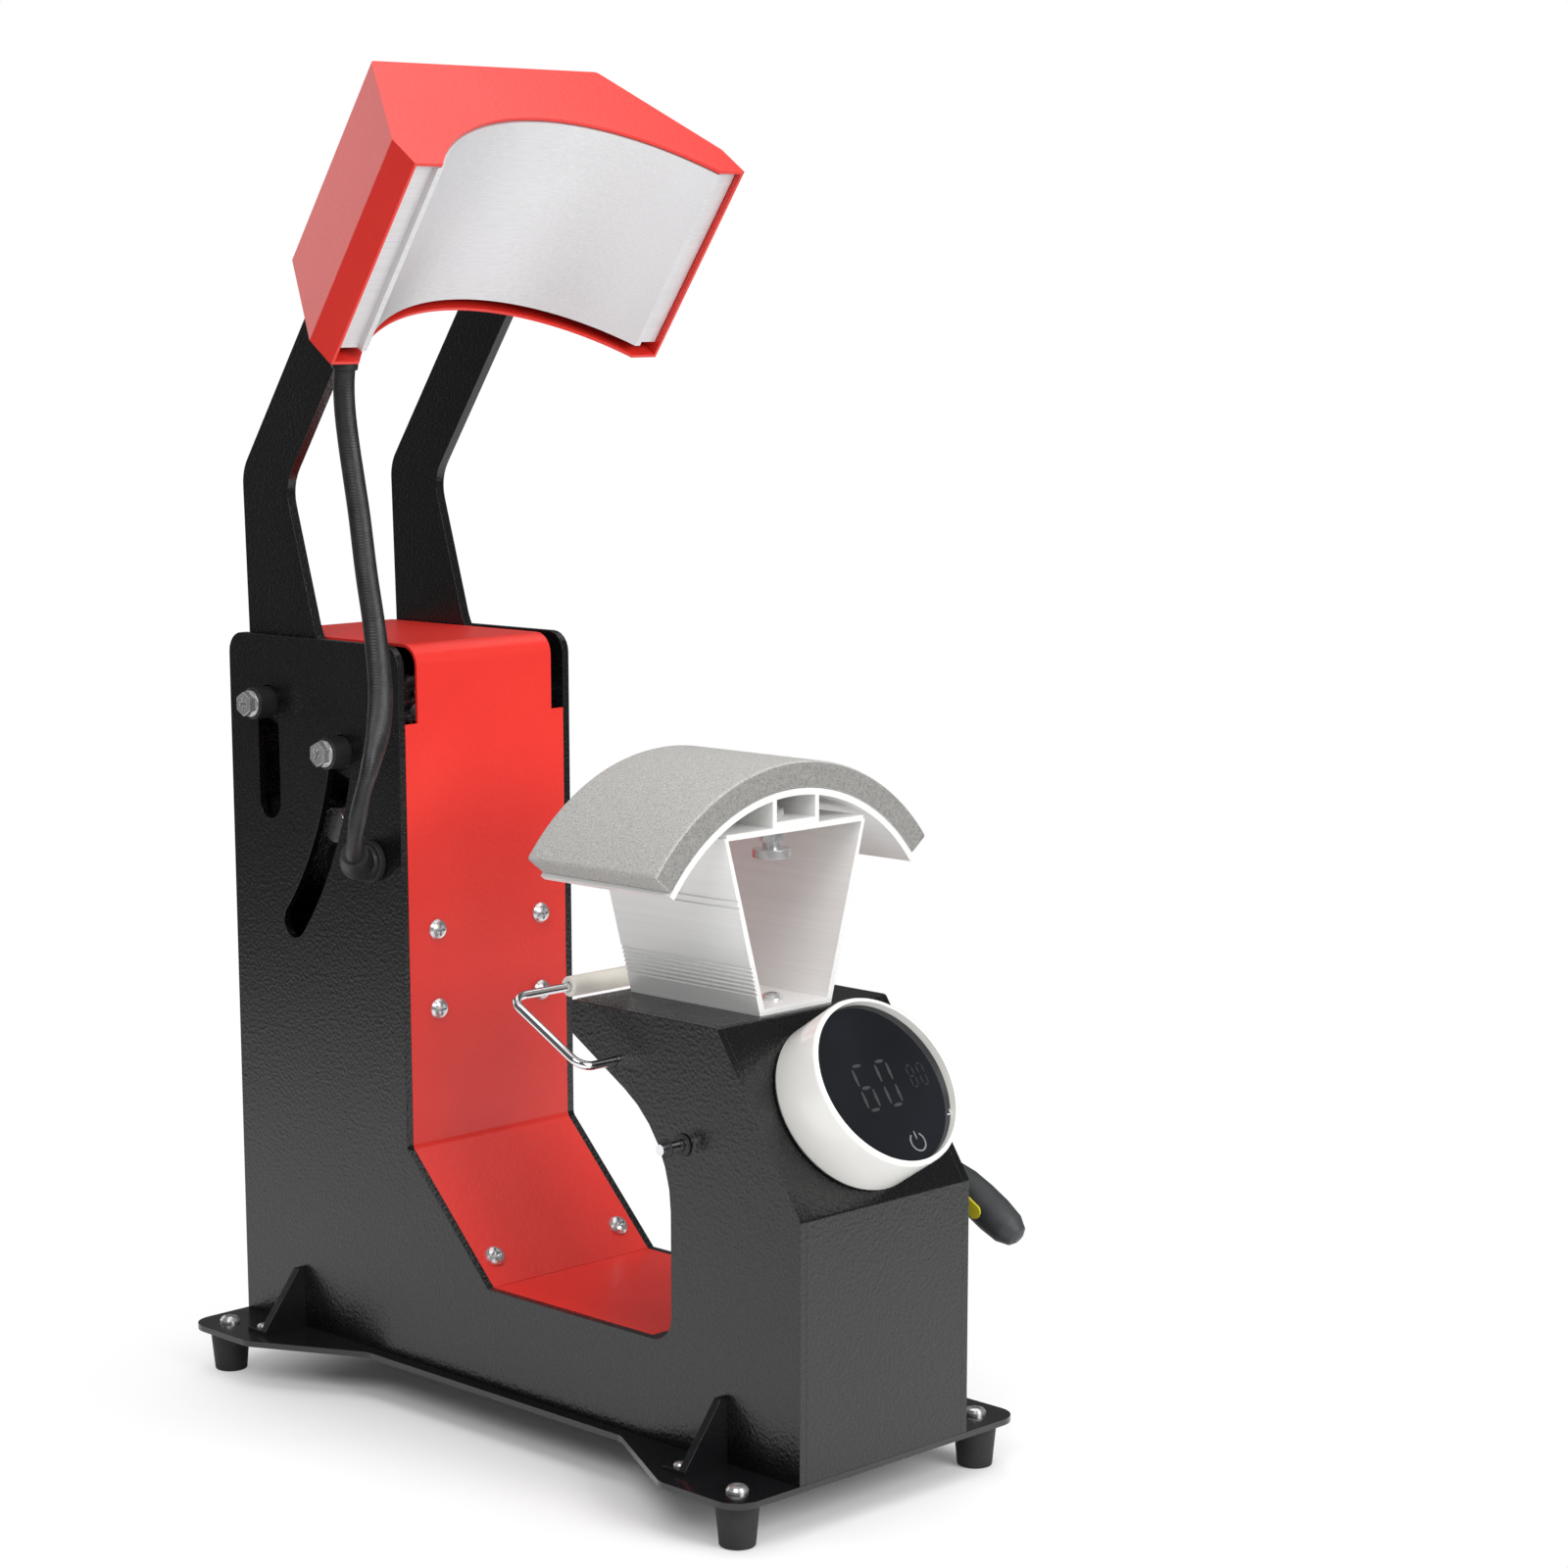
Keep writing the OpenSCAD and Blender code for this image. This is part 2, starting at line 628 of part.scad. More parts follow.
module cover_screws() color("silver") press() {
    for (x = [-cover_screw_x, cover_screw_x], z = cover_screw_z) translate([x, column_y, z])
        rotate([90, 0, 0]) pan_screw(m5, 8);
    for (x = [-ramp_screw_x, ramp_screw_x]) on_ramp(ramp_screw_share, x) pan_screw(m5, 8);
    for (p = rear_screws) translate([p[0], rear_y, p[1]]) rotate([-90, 0, 0]) pan_screw(m4, 6);
    for (x = [-bar_bracket_x, bar_bracket_x]) translate([x, rear_y, bar_z]) rotate([-90, 0, 0])
        pan_screw(m4, sheet_t + 3);
    for (p = side_screws) translate([outer_x, p[0], p[1]]) rotate([0, 90, 0]) pan_screw(m3, side_t + 2);
    for (x = [-magnet_screw_x, magnet_screw_x]) translate([x, rear_y, magnet_screw_z])
        rotate([-90, 0, 0]) pan_screw(m4, sheet_t + shelf_t);
    for (x = [-dial_screw_x, dial_screw_x]) on_slope() translate([x, 0, -panel_t])
        rotate([180, 0, 0]) pan_screw(m3, panel_t + 4);
}

// Inside the rear column

module tie_bar() color("silver") press() rod_x(bar_y, bar_z, -bar_half, bar_half, bar_d);

module bar_bracket() color("#3a3a3c") press() both_sides() difference() {
    union() {
        slab_x(bar_bracket_x - 2, bar_bracket_x + 2) {
            translate([bar_y, bar_z]) circle(r = bar_d / 2 + 3);
            translate([bar_y + bar_d / 2, bar_z - 6]) square([rear_y - sheet_t - bar_y - bar_d / 2, 12]);
        }
        box([bar_bracket_x - 8, rear_y - sheet_t - 3, bar_z - 8],
            [bar_bracket_x + 8, rear_y - sheet_t, bar_z + 8]);
    }
    rod_x(bar_y, bar_z, 0, inner_x, bar_d);
    rod_y(bar_bracket_x, bar_z, rear_y - sheet_t - 3, rear_y, m4);
}

module hold_magnet() color("#8a8a8e") press() translate([0, pin_y, magnet_foot]) difference() {
    union() {
        cylinder(h = magnet_h, d = magnet_d);
        translate([0, 0, -6]) cylinder(h = 6, d = m6);
    }
    translate([0, 0, magnet_h - 1]) difference() {
        cylinder(h = 2, d = magnet_d - 5);
        translate([0, 0, -1]) cylinder(h = 4, d = magnet_d - 16);
    }
}

module magnet_bracket() color("#3a3a3c") press() difference() {
    inside = rear_y - sheet_t;
    union() {
        box([-shelf_half, pin_y - magnet_d / 2 - 3, magnet_foot - shelf_t],
            [shelf_half, inside, magnet_foot]);
        box([-shelf_half, inside - shelf_t, magnet_foot - shelf_t - shelf_back],
            [shelf_half, inside, magnet_foot - shelf_t]);
    }
    translate([0, pin_y, magnet_foot - 10]) cylinder(h = 20, d = m6 + 2 * screw_gap);
    for (x = [-magnet_screw_x, magnet_screw_x])
        rod_y(x, magnet_screw_z, inside - shelf_t - 1, inside + 1, m4);
}

module spring_anchors() color("silver") press() for (x = [-spring_x, spring_x])
    rod_y(x, pin_z, column_y + sheet_t, anchor_y, spring_d - 1);

// A close-wound spring along +Y with straight ends on its axis, from y0 to y1
module coil(x, y0, y1) {
    r = (spring_d - spring_wire) / 2;
    tail = 2 * spring_wire;
    blend_l = 3;
    n = spring_curls * curl_rings;
    wound = y1 - y0 - 2 * (tail + blend_l);
    turns = [for (i = [0:n]) let (a = 360 * i / curl_rings)
        [r * cos(a), y0 + tail + blend_l + wound * i / n, r * sin(a)]];
    line = concat([[0, y0, 0], [0, y0 + tail, 0], [r * 0.6, y0 + tail + blend_l * 0.6, 0]], turns,
        [[r * 0.6, y1 - tail - blend_l * 0.6, 0], [0, y1 - tail, 0], [0, y1, 0]]);
    translate([x, 0, pin_z]) tube(line, spring_wire / 2, wire_sides);
}

// A tube of a given radius along a line of points, as one closed skin
module tube(line, r, sides) {
    last = len(line) - 1;
    aim = [for (i = [0:last]) let (d = line[min(i + 1, last)] - line[max(i - 1, 0)]) d / norm(d)];
    first = cross(aim[0], abs(aim[0][2]) > 0.9 ? [1, 0, 0] : [0, 0, 1]);
    up = carry(aim, first / norm(first), 0);
    points = [for (i = [0:last]) let (u = up[i], v = cross(aim[i], u))
        for (k = [0:sides - 1]) line[i] + r * (u * cos(360 * k / sides) + v * sin(360 * k / sides))];
    skin = [for (i = [0:last - 1], k = [0:sides - 1])
        let (a = i * sides + k, b = i * sides + (k + 1) % sides)
        each [[a, b + sides, b], [a, a + sides, b + sides]]];
    start = [for (k = [1:sides - 2]) [0, k, k + 1]];
    end = [for (k = [1:sides - 2]) [last * sides, last * sides + k + 1, last * sides + k]];
    polyhedron(points, concat(skin, start, end));
}

// Carries a direction along a line without twist
function carry(aim, u, i) = i == len(aim) - 1 ? [u] :
    let (t = aim[i + 1], v = u - t * (u * t)) concat([u], carry(aim, v / norm(v), i + 1));

module left_spring() color("silver") press() coil(-spring_x, anchor_y, pin_y - collar_half);

module right_spring() color("silver") press() coil(spring_x, anchor_y, pin_y - collar_half);

// Lower platen

module pedestal() color("#c8cacc") press() difference() {
    slab_y(platen_y, platen_y + platen_d) difference() {
        pedestal_outline(0);
        pedestal_outline(pedestal_t);
        both_ribs();
    }
    both_sides() slab_y(platen_y, platen_y + platen_d) pedestal_lip();
    for (y = bolt_places) translate([0, y, shelf_z - 1])
        cylinder(h = pedestal_t + 2, d = m5 + 2 * screw_gap);
    for (y = bolt_places) translate([0, y, pedestal_z - pedestal_t - 1])
        cylinder(h = pedestal_t + 2, d = m6 + 2 * screw_gap);
}

module pedestal_outline(t) polygon([[-pedestal_foot / 2 + t * 1.04, shelf_z + t],
    [pedestal_foot / 2 - t * 1.04, shelf_z + t], [pedestal_top / 2 - t * 1.04, pedestal_z - t],
    [-pedestal_top / 2 + t * 1.04, pedestal_z - t]]);

// The edge of the pedestal's top plate, which stands out and turns down
module pedestal_lip() {
    x = pedestal_top / 2 - lip_t;
    translate([x, pedestal_z - lip_t]) square([lip_out + lip_t, lip_t]);
    translate([x + lip_out, pedestal_z - lip_h]) square([lip_t, lip_h]);
}

// Fine grooves in bands on the pedestal's outer walls
module both_ribs() both_sides() for (s = rib_shares)
    translate([pedestal_foot / 2 + (pedestal_top - pedestal_foot) / 2 * s, shelf_z + pedestal_h * s])
        circle(r = 0.7, $fn = 16);

module saddle() color("#c8cacc") press() difference() {
    slab_y(platen_y, platen_y + platen_d) {
        arc_band(saddle_in_r, saddle_r, pad_angle + 1);
        intersection() {
            translate([0, arc_z]) circle(r = saddle_in_r + 0.5, $fn = 180);
            difference() {
                translate([-channel_w / 2, pedestal_z]) square([channel_w, channel_h]);
                translate([-channel_w / 2 + 2.5, pedestal_z + 2.5]) square([channel_w - 5, channel_h]);
            }
        }
    }
    for (y = bolt_places) translate([0, y, pedestal_z - 1]) cylinder(h = 5, d = m6 + 2 * screw_gap);
}

module foam_pad() color("#b4b2ae") press() slab_y(platen_y, platen_y + platen_d)
    arc_band(saddle_r, pad_r, pad_angle);

module pressure_bolts() color("silver") press() for (y = bolt_places)
    translate([0, y, pedestal_z - pedestal_t]) {
        translate([0, 0, -6]) cylinder(h = 6, d = 11, $fn = 6);
        translate([0, 0, -9]) cylinder(h = 3, d = 8);
        translate([0, 0, -13]) cylinder(h = 4, d = 17);
        cylinder(h = pedestal_t + 7, d = m6);
        translate([0, 0, pedestal_t + 2.5]) cylinder(h = 3.5, d = 11, $fn = 6);
    }

module pedestal_screws() color("silver") press() for (y = bolt_places)
    translate([0, y, shelf_z + pedestal_t]) pan_screw(m5, pedestal_t + panel_t + 3);

// Dial and electronics

module dial_ring() color("#f2f2ee") press() on_slope() rotate_extrude($fn = 96) {
    r = dial_d / 2;
    in_r = r - dial_wall;
    polygon([[in_r, 1], [r - 1, 1], [r, 3], [r, dial_h - 2], [r - ring_round, dial_h - ring_low],
        [r - 1.5, dial_h], [in_r + 0.4, dial_h], [in_r, dial_h - 0.4], [in_r, ledge_z],
        [in_r - ledge_w, ledge_z], [in_r - ledge_w, ledge_z - 2], [in_r, ledge_z - 2 - ledge_w]]);
}

module dial_base() color("#202022") press() on_slope() difference() {
    union() {
        cylinder(h = 1, r = dial_d / 2 - 1);
        translate([0, 0, 1]) cylinder(h = 4, r = dial_d / 2 - dial_wall - 0.05);
    }
    translate([0, 0, -1]) cylinder(h = 10, d = 20);
    for (x = [-dial_screw_x, dial_screw_x]) translate([x, 0, -1]) cylinder(h = 7, d = m3);
}

module dial_glass() color("#101014") press() on_slope()
    translate([0, 0, ledge_z]) cylinder(h = glass_t, r = dial_d / 2 - dial_wall - 0.05);

module display_board() color("#2c5a3a") press() on_slope() {
    translate([0, 0, ledge_z - board_drop])
        cylinder(h = board_t, r = dial_d / 2 - dial_wall - ledge_w - 0.5);
    translate([0, 0, ledge_z - board_drop + board_t]) box([-20, -11, 0], [20, 11, board_drop - board_t]);
}

module control_board() color("#2c5a3a") press() {
    z = base_z + 10;
    for (p = board_screw_places) translate([p[0], p[1], base_z]) difference() {
        cylinder(h = 10, d = 6);
        translate([0, 0, -1]) cylinder(h = 6, d = m3);
    }
    box([-36, 22, z], [36, 68, z + 1.6]);
    box([-32, 34, z + 1.6], [-8, 56, z + 22]);
    box([-2, 40, z + 1.6], [14, 56, z + 17]);
    box([18, 34, z + 1.6], [21, 58, z + 30]);
    translate([6, 32, z + 1.6]) cylinder(h = 12, d = 9);
}

module power_inlet() color("#181818") press() difference() {
    union() {
        box([-inlet_w / 2 + 0.2, rear_y - 22, inlet_z - inlet_h / 2 + 0.2],
            [inlet_w / 2 - 0.2, rear_y, inlet_z + inlet_h / 2 - 0.2]);
        box([-inlet_w / 2 - 3, rear_y, inlet_z - inlet_h / 2 - 2],
            [inlet_w / 2 + 3, rear_y + fitting_out, inlet_z + inlet_h / 2 + 2]);
    }
    box([-inlet_w / 2 + 2, rear_y - 14, inlet_z - inlet_h / 2 + 2],
        [inlet_w / 2 - 2, rear_y + 10, inlet_z + inlet_h / 2 - 2]);
}

module switch_housing() color("#181818") press() difference() {
    union() {
        box([-switch_w / 2 + 0.2, rear_y - 18, switch_z - switch_h / 2 + 0.2],
            [switch_w / 2 - 0.2, rear_y, switch_z + switch_h / 2 - 0.2]);
        box([-switch_w / 2 - 2, rear_y, switch_z - switch_h / 2 - 2],
            [switch_w / 2 + 2, rear_y + 1.5, switch_z + switch_h / 2 + 2]);
    }
    box([-switch_well, rear_y - 9, switch_z - switch_h / 2 + 1.5],
        [switch_well, rear_y + 10, switch_z + switch_h / 2 - 1.5]);
    rod_x(rear_y - 4, switch_z, -switch_well - pivot_in, switch_well + pivot_in, pivot_d + 2 * run_gap);
}

module switch_rocker() color("#c02020") press() translate([0, rear_y - 4, switch_z]) {
    rotate([rocker_tilt, 0, 0]) slab_x(-switch_well + side_gap, switch_well - side_gap)
        polygon([[-1.5, -4.6], [4.6, -4.9], [4, 0], [4.6, 4.9], [-1.5, 4.6], [-3, 0]]);
    rod_x(0, 0, -switch_well - pivot_in + side_gap, switch_well + pivot_in - side_gap, pivot_d);
}

// Cable of the head

module body_grommet() color("#181818") press() {
    p = cable_route[cable_last];
    difference() {
        union() {
            rod_x(p[1], p[2], -outer_x - 4, -outer_x, 20);
            rod_x(p[1], p[2], -outer_x, -inner_x, 14.8);
            rod_x(p[1], p[2], -inner_x, -inner_x + 2, 18);
        }
        rod_x(p[1], p[2], -outer_x - 5, -inner_x + 3, cable_d - 1.5);
    }
}

module head_cable() color("#202022") press() tube(cable_route, cable_d / 2, cable_sides);

module head_gland() color("#181818") press() head_up() {
    p = gland_place;
    difference() {
        union() {
            rod_y(p[0], p[1], head_rear, head_rear + 4, 17);
            rod_y(p[0], p[1], head_rear - sheet_t - 2, head_rear, 12);
        }
        rod_y(p[0], p[1], head_rear - 9, head_rear + 9, cable_d - 2);
    }
}

// Carriage: the rear guide shaft with what it carries

module rear_guide_shaft() color("silver") press() difference() {
    rod_x(pin_y, pin_z, -roller_x, roller_x, pin_d);
    both_sides() rod_x(pin_y, pin_z, roller_x - 9, roller_x + 1, m4 + 2 * screw_gap);
}

module roller_pair(y, z) both_sides() difference() {
    rod_x(y, z, arm_x + 0.2, roller_x, roller_d);
    rod_x(y, z, arm_x - 1, roller_x + 1, pin_d);
}

module guide_screw_pair(y, z) both_sides() translate([roller_x, y, z]) rotate([0, 90, 0]) {
    cylinder(h = 1, d = roller_d - 2.5);
    translate([0, 0, 1]) difference() {
        cylinder(h = 4, d = 12, $fn = 6);
        translate([0, 0, 2]) {
            box([-3, -0.7, 0], [3, 0.7, 3]);
            box([-0.7, -3, 0], [0.7, 3, 3]);
        }
    }
    translate([0, 0, -8]) cylinder(h = 8, d = m4);
}

module rear_rollers() color("#222224") press() roller_pair(pin_y, pin_z);

module rear_guide_screws() color("silver") press() guide_screw_pair(pin_y, pin_z);

module keeper() color("#9a9a9e") press() {
    difference() {
        union() {
            rod_x(pin_y, pin_z, -9, 9, pin_d + 8);
            translate([0, pin_y, pin_z - keeper_drop]) cylinder(h = keeper_drop, d = 9);
            translate([0, pin_y, pin_z - keeper_drop - keeper_t / 2]) cylinder(h = keeper_t, d = keeper_d);
        }
        rod_x(pin_y, pin_z, -20, 20, pin_d);
    }
    for (x = [-1, 1]) difference() {
        box([x * spring_x - 5, pin_y - collar_half, pin_z - collar_half],
            [x * spring_x + 5, pin_y + collar_half, pin_z + collar_half]);
        rod_x(pin_y, pin_z, -outer_x, outer_x, pin_d);
    }
}

// Arms and the front guide pins

module arm_outline() {
    a = [pin_y, pin_shut_z];
    b = front_pin_shut;
    d = (a - b) / norm(a - b) * lobe_r;
    n = left_of(b, a) * lobe_r;
    e = b - n - d;
    f = b + n - d;
    difference() {
        polygon(rounded([[head_rear - arm_in, arm_z, 2], [head_rear - arm_in, arm_z + arm_w, 2],
            [pin_y - elbow_back, arm_z + arm_w, 20], [pin_y + 13, pin_shut_z + 13, 12],
            [e[0], e[1], lobe_r - 0.1], [f[0], f[1], lobe_r - 0.1],
            [pin_y - 46, pin_shut_z - 8, 30], [pin_y - elbow_in, arm_z, 20]]));
        translate(a) circle(d = pin_d + 2 * run_gap);
        translate(b) circle(d = pin_d);
        for (y = arm_bolt_y) translate([y, arm_z + arm_w / 2]) circle(d = m5 + 2 * screw_gap);
    }
}

module arm(x0, x1) press() head_up() slab_x(x0, x1) arm_outline();

module left_arm() color("#1a1a1c") arm(-arm_x, -arm_in_x);

module right_arm() color("#1a1a1c") arm(arm_in_x, arm_x);

module front_guide_pins() color("silver") press() head_up() both_sides() difference() {
    union() {
        rod_x(front_pin_shut[0], front_pin_shut[1], arm_in_x, roller_x, pin_d);
        rod_x(front_pin_shut[0], front_pin_shut[1], arm_in_x - 3, arm_in_x, pin_d + 6);
    }
    rod_x(front_pin_shut[0], front_pin_shut[1], roller_x - 9, roller_x + 1, m4 + 2 * screw_gap);
}

module front_rollers() color("#222224") press() head_up()
    roller_pair(front_pin_shut[0], front_pin_shut[1]);

module front_guide_screws() color("silver") press() head_up()
    guide_screw_pair(front_pin_shut[0], front_pin_shut[1]);

// Head

function housing_line(t) = let (lean = (head_x - head_top_x) / (head_h - strip_h),
        k = t * (sqrt(1 + lean * lean) - lean))
    [[head_x - t, head_z - (t > 0 ? 1 : 0), 0],
    [head_x - t, head_z + strip_h - t * (sqrt(1 + lean * lean) - 1) / lean, 3],
    [head_top_x - k, head_top - t, 3 - t]];

module housing_outline(t) {
    half = housing_line(t);
    polygon(rounded(concat(half, [for (i = [2:-1:0]) [-half[i][0], half[i][1], half[i][2]]])));
}

module head_housing() color("#e03a32") press() head_up() difference() {
    slab_y(head_y, head_rear) housing_outline(0);
    slab_y(head_y + sheet_t, head_rear - sheet_t) housing_outline(sheet_t);
    slab_y(head_y - 1, head_rear + 1) translate([0, arc_z]) circle(r = hot_r + 1, $fn = 180);
    both_sides() box([arm_in_x - side_gap, head_rear - sheet_t - 1, arm_z - side_gap],
        [arm_x + side_gap, head_rear + 1, arm_z + arm_w + side_gap]);
    rod_y(gland_place[0], gland_place[1], head_rear - 5, head_rear + 5, 12.2);
    for (p = head_screw_places) translate([p[0], p[1], head_top - 5])
        cylinder(h = 10, d = m4 + 2 * screw_gap);
}

module head_bracket() color("#3a3a3c") press() head_up() difference() {
    box([-arm_in_x, head_y + 6, arm_z + 3], [arm_in_x, head_rear - 16, bracket_z]);
    box([-arm_in_x + 3, head_y, arm_z], [arm_in_x - 3, head_rear, bracket_z - 3]);
    for (p = head_screw_places) translate([p[0], p[1], bracket_z - 5]) cylinder(h = 10, d = m4);
    for (p = stud_places) translate([p[0], p[1], bracket_z - 5])
        cylinder(h = 10, d = m6 + 2 * screw_gap);
    for (y = arm_bolt_y) rod_x(y, arm_z + arm_w / 2, -outer_x, outer_x, m5 + 2 * screw_gap);
}

module head_screws() color("silver") press() head_up() for (p = head_screw_places)
    translate([p[0], p[1], head_top]) pan_screw(m4, sheet_t + 5);

module arm_bolts() color("silver") press() {
    head_up() both_sides() for (y = arm_bolt_y) translate([0, y, arm_z + arm_w / 2]) {
        rod_x(0, 0, arm_in_x - 7, arm_x + 4, m5);
        rod_x(0, 0, arm_x, arm_x + 4, 9);
        rod_x(0, 0, arm_in_x - 7, arm_in_x - 3, 9);
    }
}

module heater_outline() {
    intersection() {
        arc_band(hot_r, hot_r + heater_t, 80);
        translate([-hot_x - 3, head_z]) square([2 * hot_x + 6, head_h]);
    }
    both_sides() difference() {
        translate([hot_x - 4, flange_z]) square([head_x - sheet_t - side_gap - hot_x + 4, flange_t]);
        translate([0, arc_z]) circle(r = hot_r, $fn = 180);
    }
}

module heater_plate() color("#b8babc") press() head_up() difference() {
    slab_y(heater_y, heater_y + heater_d) heater_outline();
    for (p = stud_places) translate([p[0], p[1], stud_foot(p[0])]) cylinder(h = heater_t * 2, d = m6);
    for (x = [-terminal_x, terminal_x]) translate([x, heater_y + heater_d / 2, stud_foot(x)])
        cylinder(h = heater_t * 2, d = m5);
}

function stud_foot(x) = arc_z + sqrt(pow(hot_r + heater_t, 2) - x * x) - heater_t / 2;

module heater_terminals() color("silver") press() head_up() {
    for (p = stud_places) translate([p[0], p[1], stud_foot(p[0])])
        cylinder(h = bracket_z - stud_foot(p[0]), d = m6);
    for (p = stud_places) translate([p[0], p[1], bracket_z - 8]) cylinder(h = 5, d = 11, $fn = 6);
    for (x = [-terminal_x, terminal_x]) translate([x, heater_y + heater_d / 2, stud_foot(x)])
        cylinder(h = 22, d = m5);
}

module insulation() color("#d8d4c4") press() head_up() difference() {
    slab_y(heater_y + 4, heater_y + heater_d - 4) arc_band(hot_r + heater_t, hot_r + heater_t + wool_t, 26);
    for (p = stud_places) translate([p[0], p[1], arc_z]) cylinder(h = 200, d = m6 + 2);
}

// Tensioner

module handle_shaft() color("silver") press() at_handle() {
    reach = outer_x + 10;
    groove_x = -outer_x - 11;
    rod_x(0, 0, groove_x - 3, groove_x, rod_d);
    rod_x(0, 0, groove_x - 1, groove_x + 2, groove_d);
    rod_x(0, 0, groove_x + 1, reach, rod_d);
    translate([reach, -rod_turn, 0]) rotate([0, 0, 89 - handle_out])
        wire_bend(rod_turn, rod_d - 0.04, handle_out + 2);
    at_grip() rotate([90, 0, 0]) cylinder(h = rod_l - rod_turn + grip_hole, d = rod_d);
    slab_x(crank_x, crank_x + 4) crank_outline(rod_d / 2 + 3);
    rotate([crank_angle - handle_angle, 0, 0]) rod_x(crank_r, 0, crank_x - 4, crank_x + 2, crank_pin_d);
}
// The frame of the grip: its axis towards -Y from the end of the rod's bend
module at_grip()
    translate([outer_x + 10 + rod_turn * sin(handle_out), rod_turn * (cos(handle_out) - 1), 0])
        rotate([0, 0, 90 - handle_out]) children();

module crank_outline(r) rotate(crank_angle - handle_angle) {
    circle(r = r);
    translate([crank_r, 0]) circle(r = 4);
    translate([0, -4]) square([crank_r, 8]);
}

module handle_grip() color("#2a2c2e") press() at_handle() at_grip() rotate([90, 0, 0])
    translate([0, 0, rod_l - rod_turn]) difference() {
        r = grip_d / 2;
        rotate_extrude() polygon([[0, 0], [r * 0.62, 0], [r * 0.66, 4], [r * 0.6, 8], [r * 0.72, 14],
            [r * 0.92, 22], [r, 32], [r, grip_l - 16], [r * 0.9, grip_l - 7], [r * 0.6, grip_l - 1.5],
            [r * 0.3, grip_l], [0, grip_l]]);
        translate([0, 0, -1]) cylinder(h = grip_hole + 1, d = rod_d);
        grip_pockets();
    }

module grip_pockets() both_sides() slab_x(grip_d / 2 - 1.2, grip_d / 2 + 2) oval();

module oval() {
    translate([0, grip_l - 29]) circle(d = 7);
    translate([0, grip_l - 22]) circle(d = 7);
    translate([-3.5, grip_l - 29]) square([7, 7]);
}

module grip_inserts() color("#d8cc20") press() at_handle() at_grip() rotate([90, 0, 0])
    translate([0, 0, rod_l - rod_turn]) {
        translate([0, 0, -collar_l]) difference() {
            cylinder(h = collar_l, d1 = 10, d2 = 12);
            translate([0, 0, -1]) cylinder(h = collar_l + 2, d = rod_d);
        }
        both_sides() slab_x(grip_d / 2 - 1.2, grip_d / 2 + 0.3) oval();
    }

module retaining_clip() color("#444446") press() at_handle() translate([-outer_x - 11, 0, 0])
    rotate([0, 90, 0]) difference() {
        cylinder(h = 0.9, d = rod_d + 4);
        translate([0, 0, -1]) cylinder(h = 3, d = groove_d + 2 * run_gap);
        box([0, -1.2, -1], [9, 1.2, 3]);
    }

module bail_wire() color("silver") press() at_bail() both_sides() {
    bend = 7;
    out = outer_x + bail_out - bend;
    turn = 9;
    rod_x(0, 0, inner_x - 6, out, wire_d);
    translate([out, bend, 0]) rotate([0, 0, -90]) wire_bend(bend, wire_d, 90);
    rod_y(out + bend, 0, bend, bail_reach - turn, wire_d);
    translate([out + bend - turn, bail_reach - turn, 0]) wire_bend(turn, wire_d, 90);
    rod_x(bail_reach, 0, 0, out + bend - turn, wire_d);
}

module bail_tube() color("#5a5a5e") press() at_bail() {
    difference() {
        union() {
            rod_x(0, 0, -inner_x + 0.5, inner_x - 0.5, wire_d + 5);
            slab_x(crank_x, crank_x + 4) rotate(crank_angle - bail_angle) {
                translate([crank_r, 0]) circle(r = 4);
                translate([0, -4]) square([crank_r, 8]);
            }
            rotate([crank_angle - bail_angle, 0, 0])
                rod_x(crank_r, 0, crank_x - 4, crank_x + 2, crank_pin_d);
        }
        both_sides() rod_x(0, 0, inner_x - 6, inner_x, wire_d);
    }
}

module bail_sleeve() color("#e6e2d8") press() at_bail() difference() {
    rod_x(bail_reach, 0, -sleeve_l / 2, sleeve_l / 2, sleeve_d);
    rod_x(bail_reach, 0, -sleeve_l, sleeve_l, wire_d);
}

module link_bar() color("silver") press() {
    a = [handle_y + crank_r * cos(crank_angle), handle_z + crank_r * sin(crank_angle)];
    b = [bail_y + crank_r * cos(crank_angle), bail_z + crank_r * sin(crank_angle)];
    n = left_of(a, b) * 3.5;
    slab_x(crank_x - 3.5, crank_x - 0.5) difference() {
        union() {
            translate(a) circle(d = 9);
            translate(b) circle(d = 9);
            polygon([a - n, b - n, b + n, a + n]);
        }
        translate(a) circle(d = crank_pin_d + 2 * run_gap);
        translate(b) circle(d = crank_pin_d + 0.6);
    }
}

module shaft_bushes() color("#181818") press() both_sides() difference() {
    union() {
        rod_x(handle_y, handle_z, inner_x, outer_x, rod_d + 4);
        rod_x(handle_y, handle_z, outer_x, outer_x + 1, rod_d + 5.4);
    }
    rod_x(handle_y, handle_z, inner_x - 1, outer_x + 5, rod_d + 2 * run_gap);
}

base_plate();
rubber_feet();
base_screws();
gussets();
left_side_plate();
right_side_plate();
front_panel();
throat_liner();
column_cover();
floor_cover();
rear_cover();
cover_screws();
tie_bar();
bar_bracket();
hold_magnet();
magnet_bracket();
spring_anchors();
left_spring();
right_spring();
pedestal();
saddle();
foam_pad();
pressure_bolts();
pedestal_screws();
dial_ring();
dial_base();
dial_glass();
display_board();
control_board();
power_inlet();
switch_housing();
switch_rocker();
body_grommet();
head_cable();
head_gland();
rear_guide_shaft();
rear_rollers();
rear_guide_screws();
keeper();
left_arm();
right_arm();
front_guide_pins();
front_rollers();
front_guide_screws();
head_housing();
head_bracket();
head_screws();
arm_bolts();
heater_plate();
heater_terminals();
insulation();
handle_shaft();
handle_grip();
grip_inserts();
retaining_clip();
bail_wire();
bail_tube();
bail_sleeve();
link_bar();
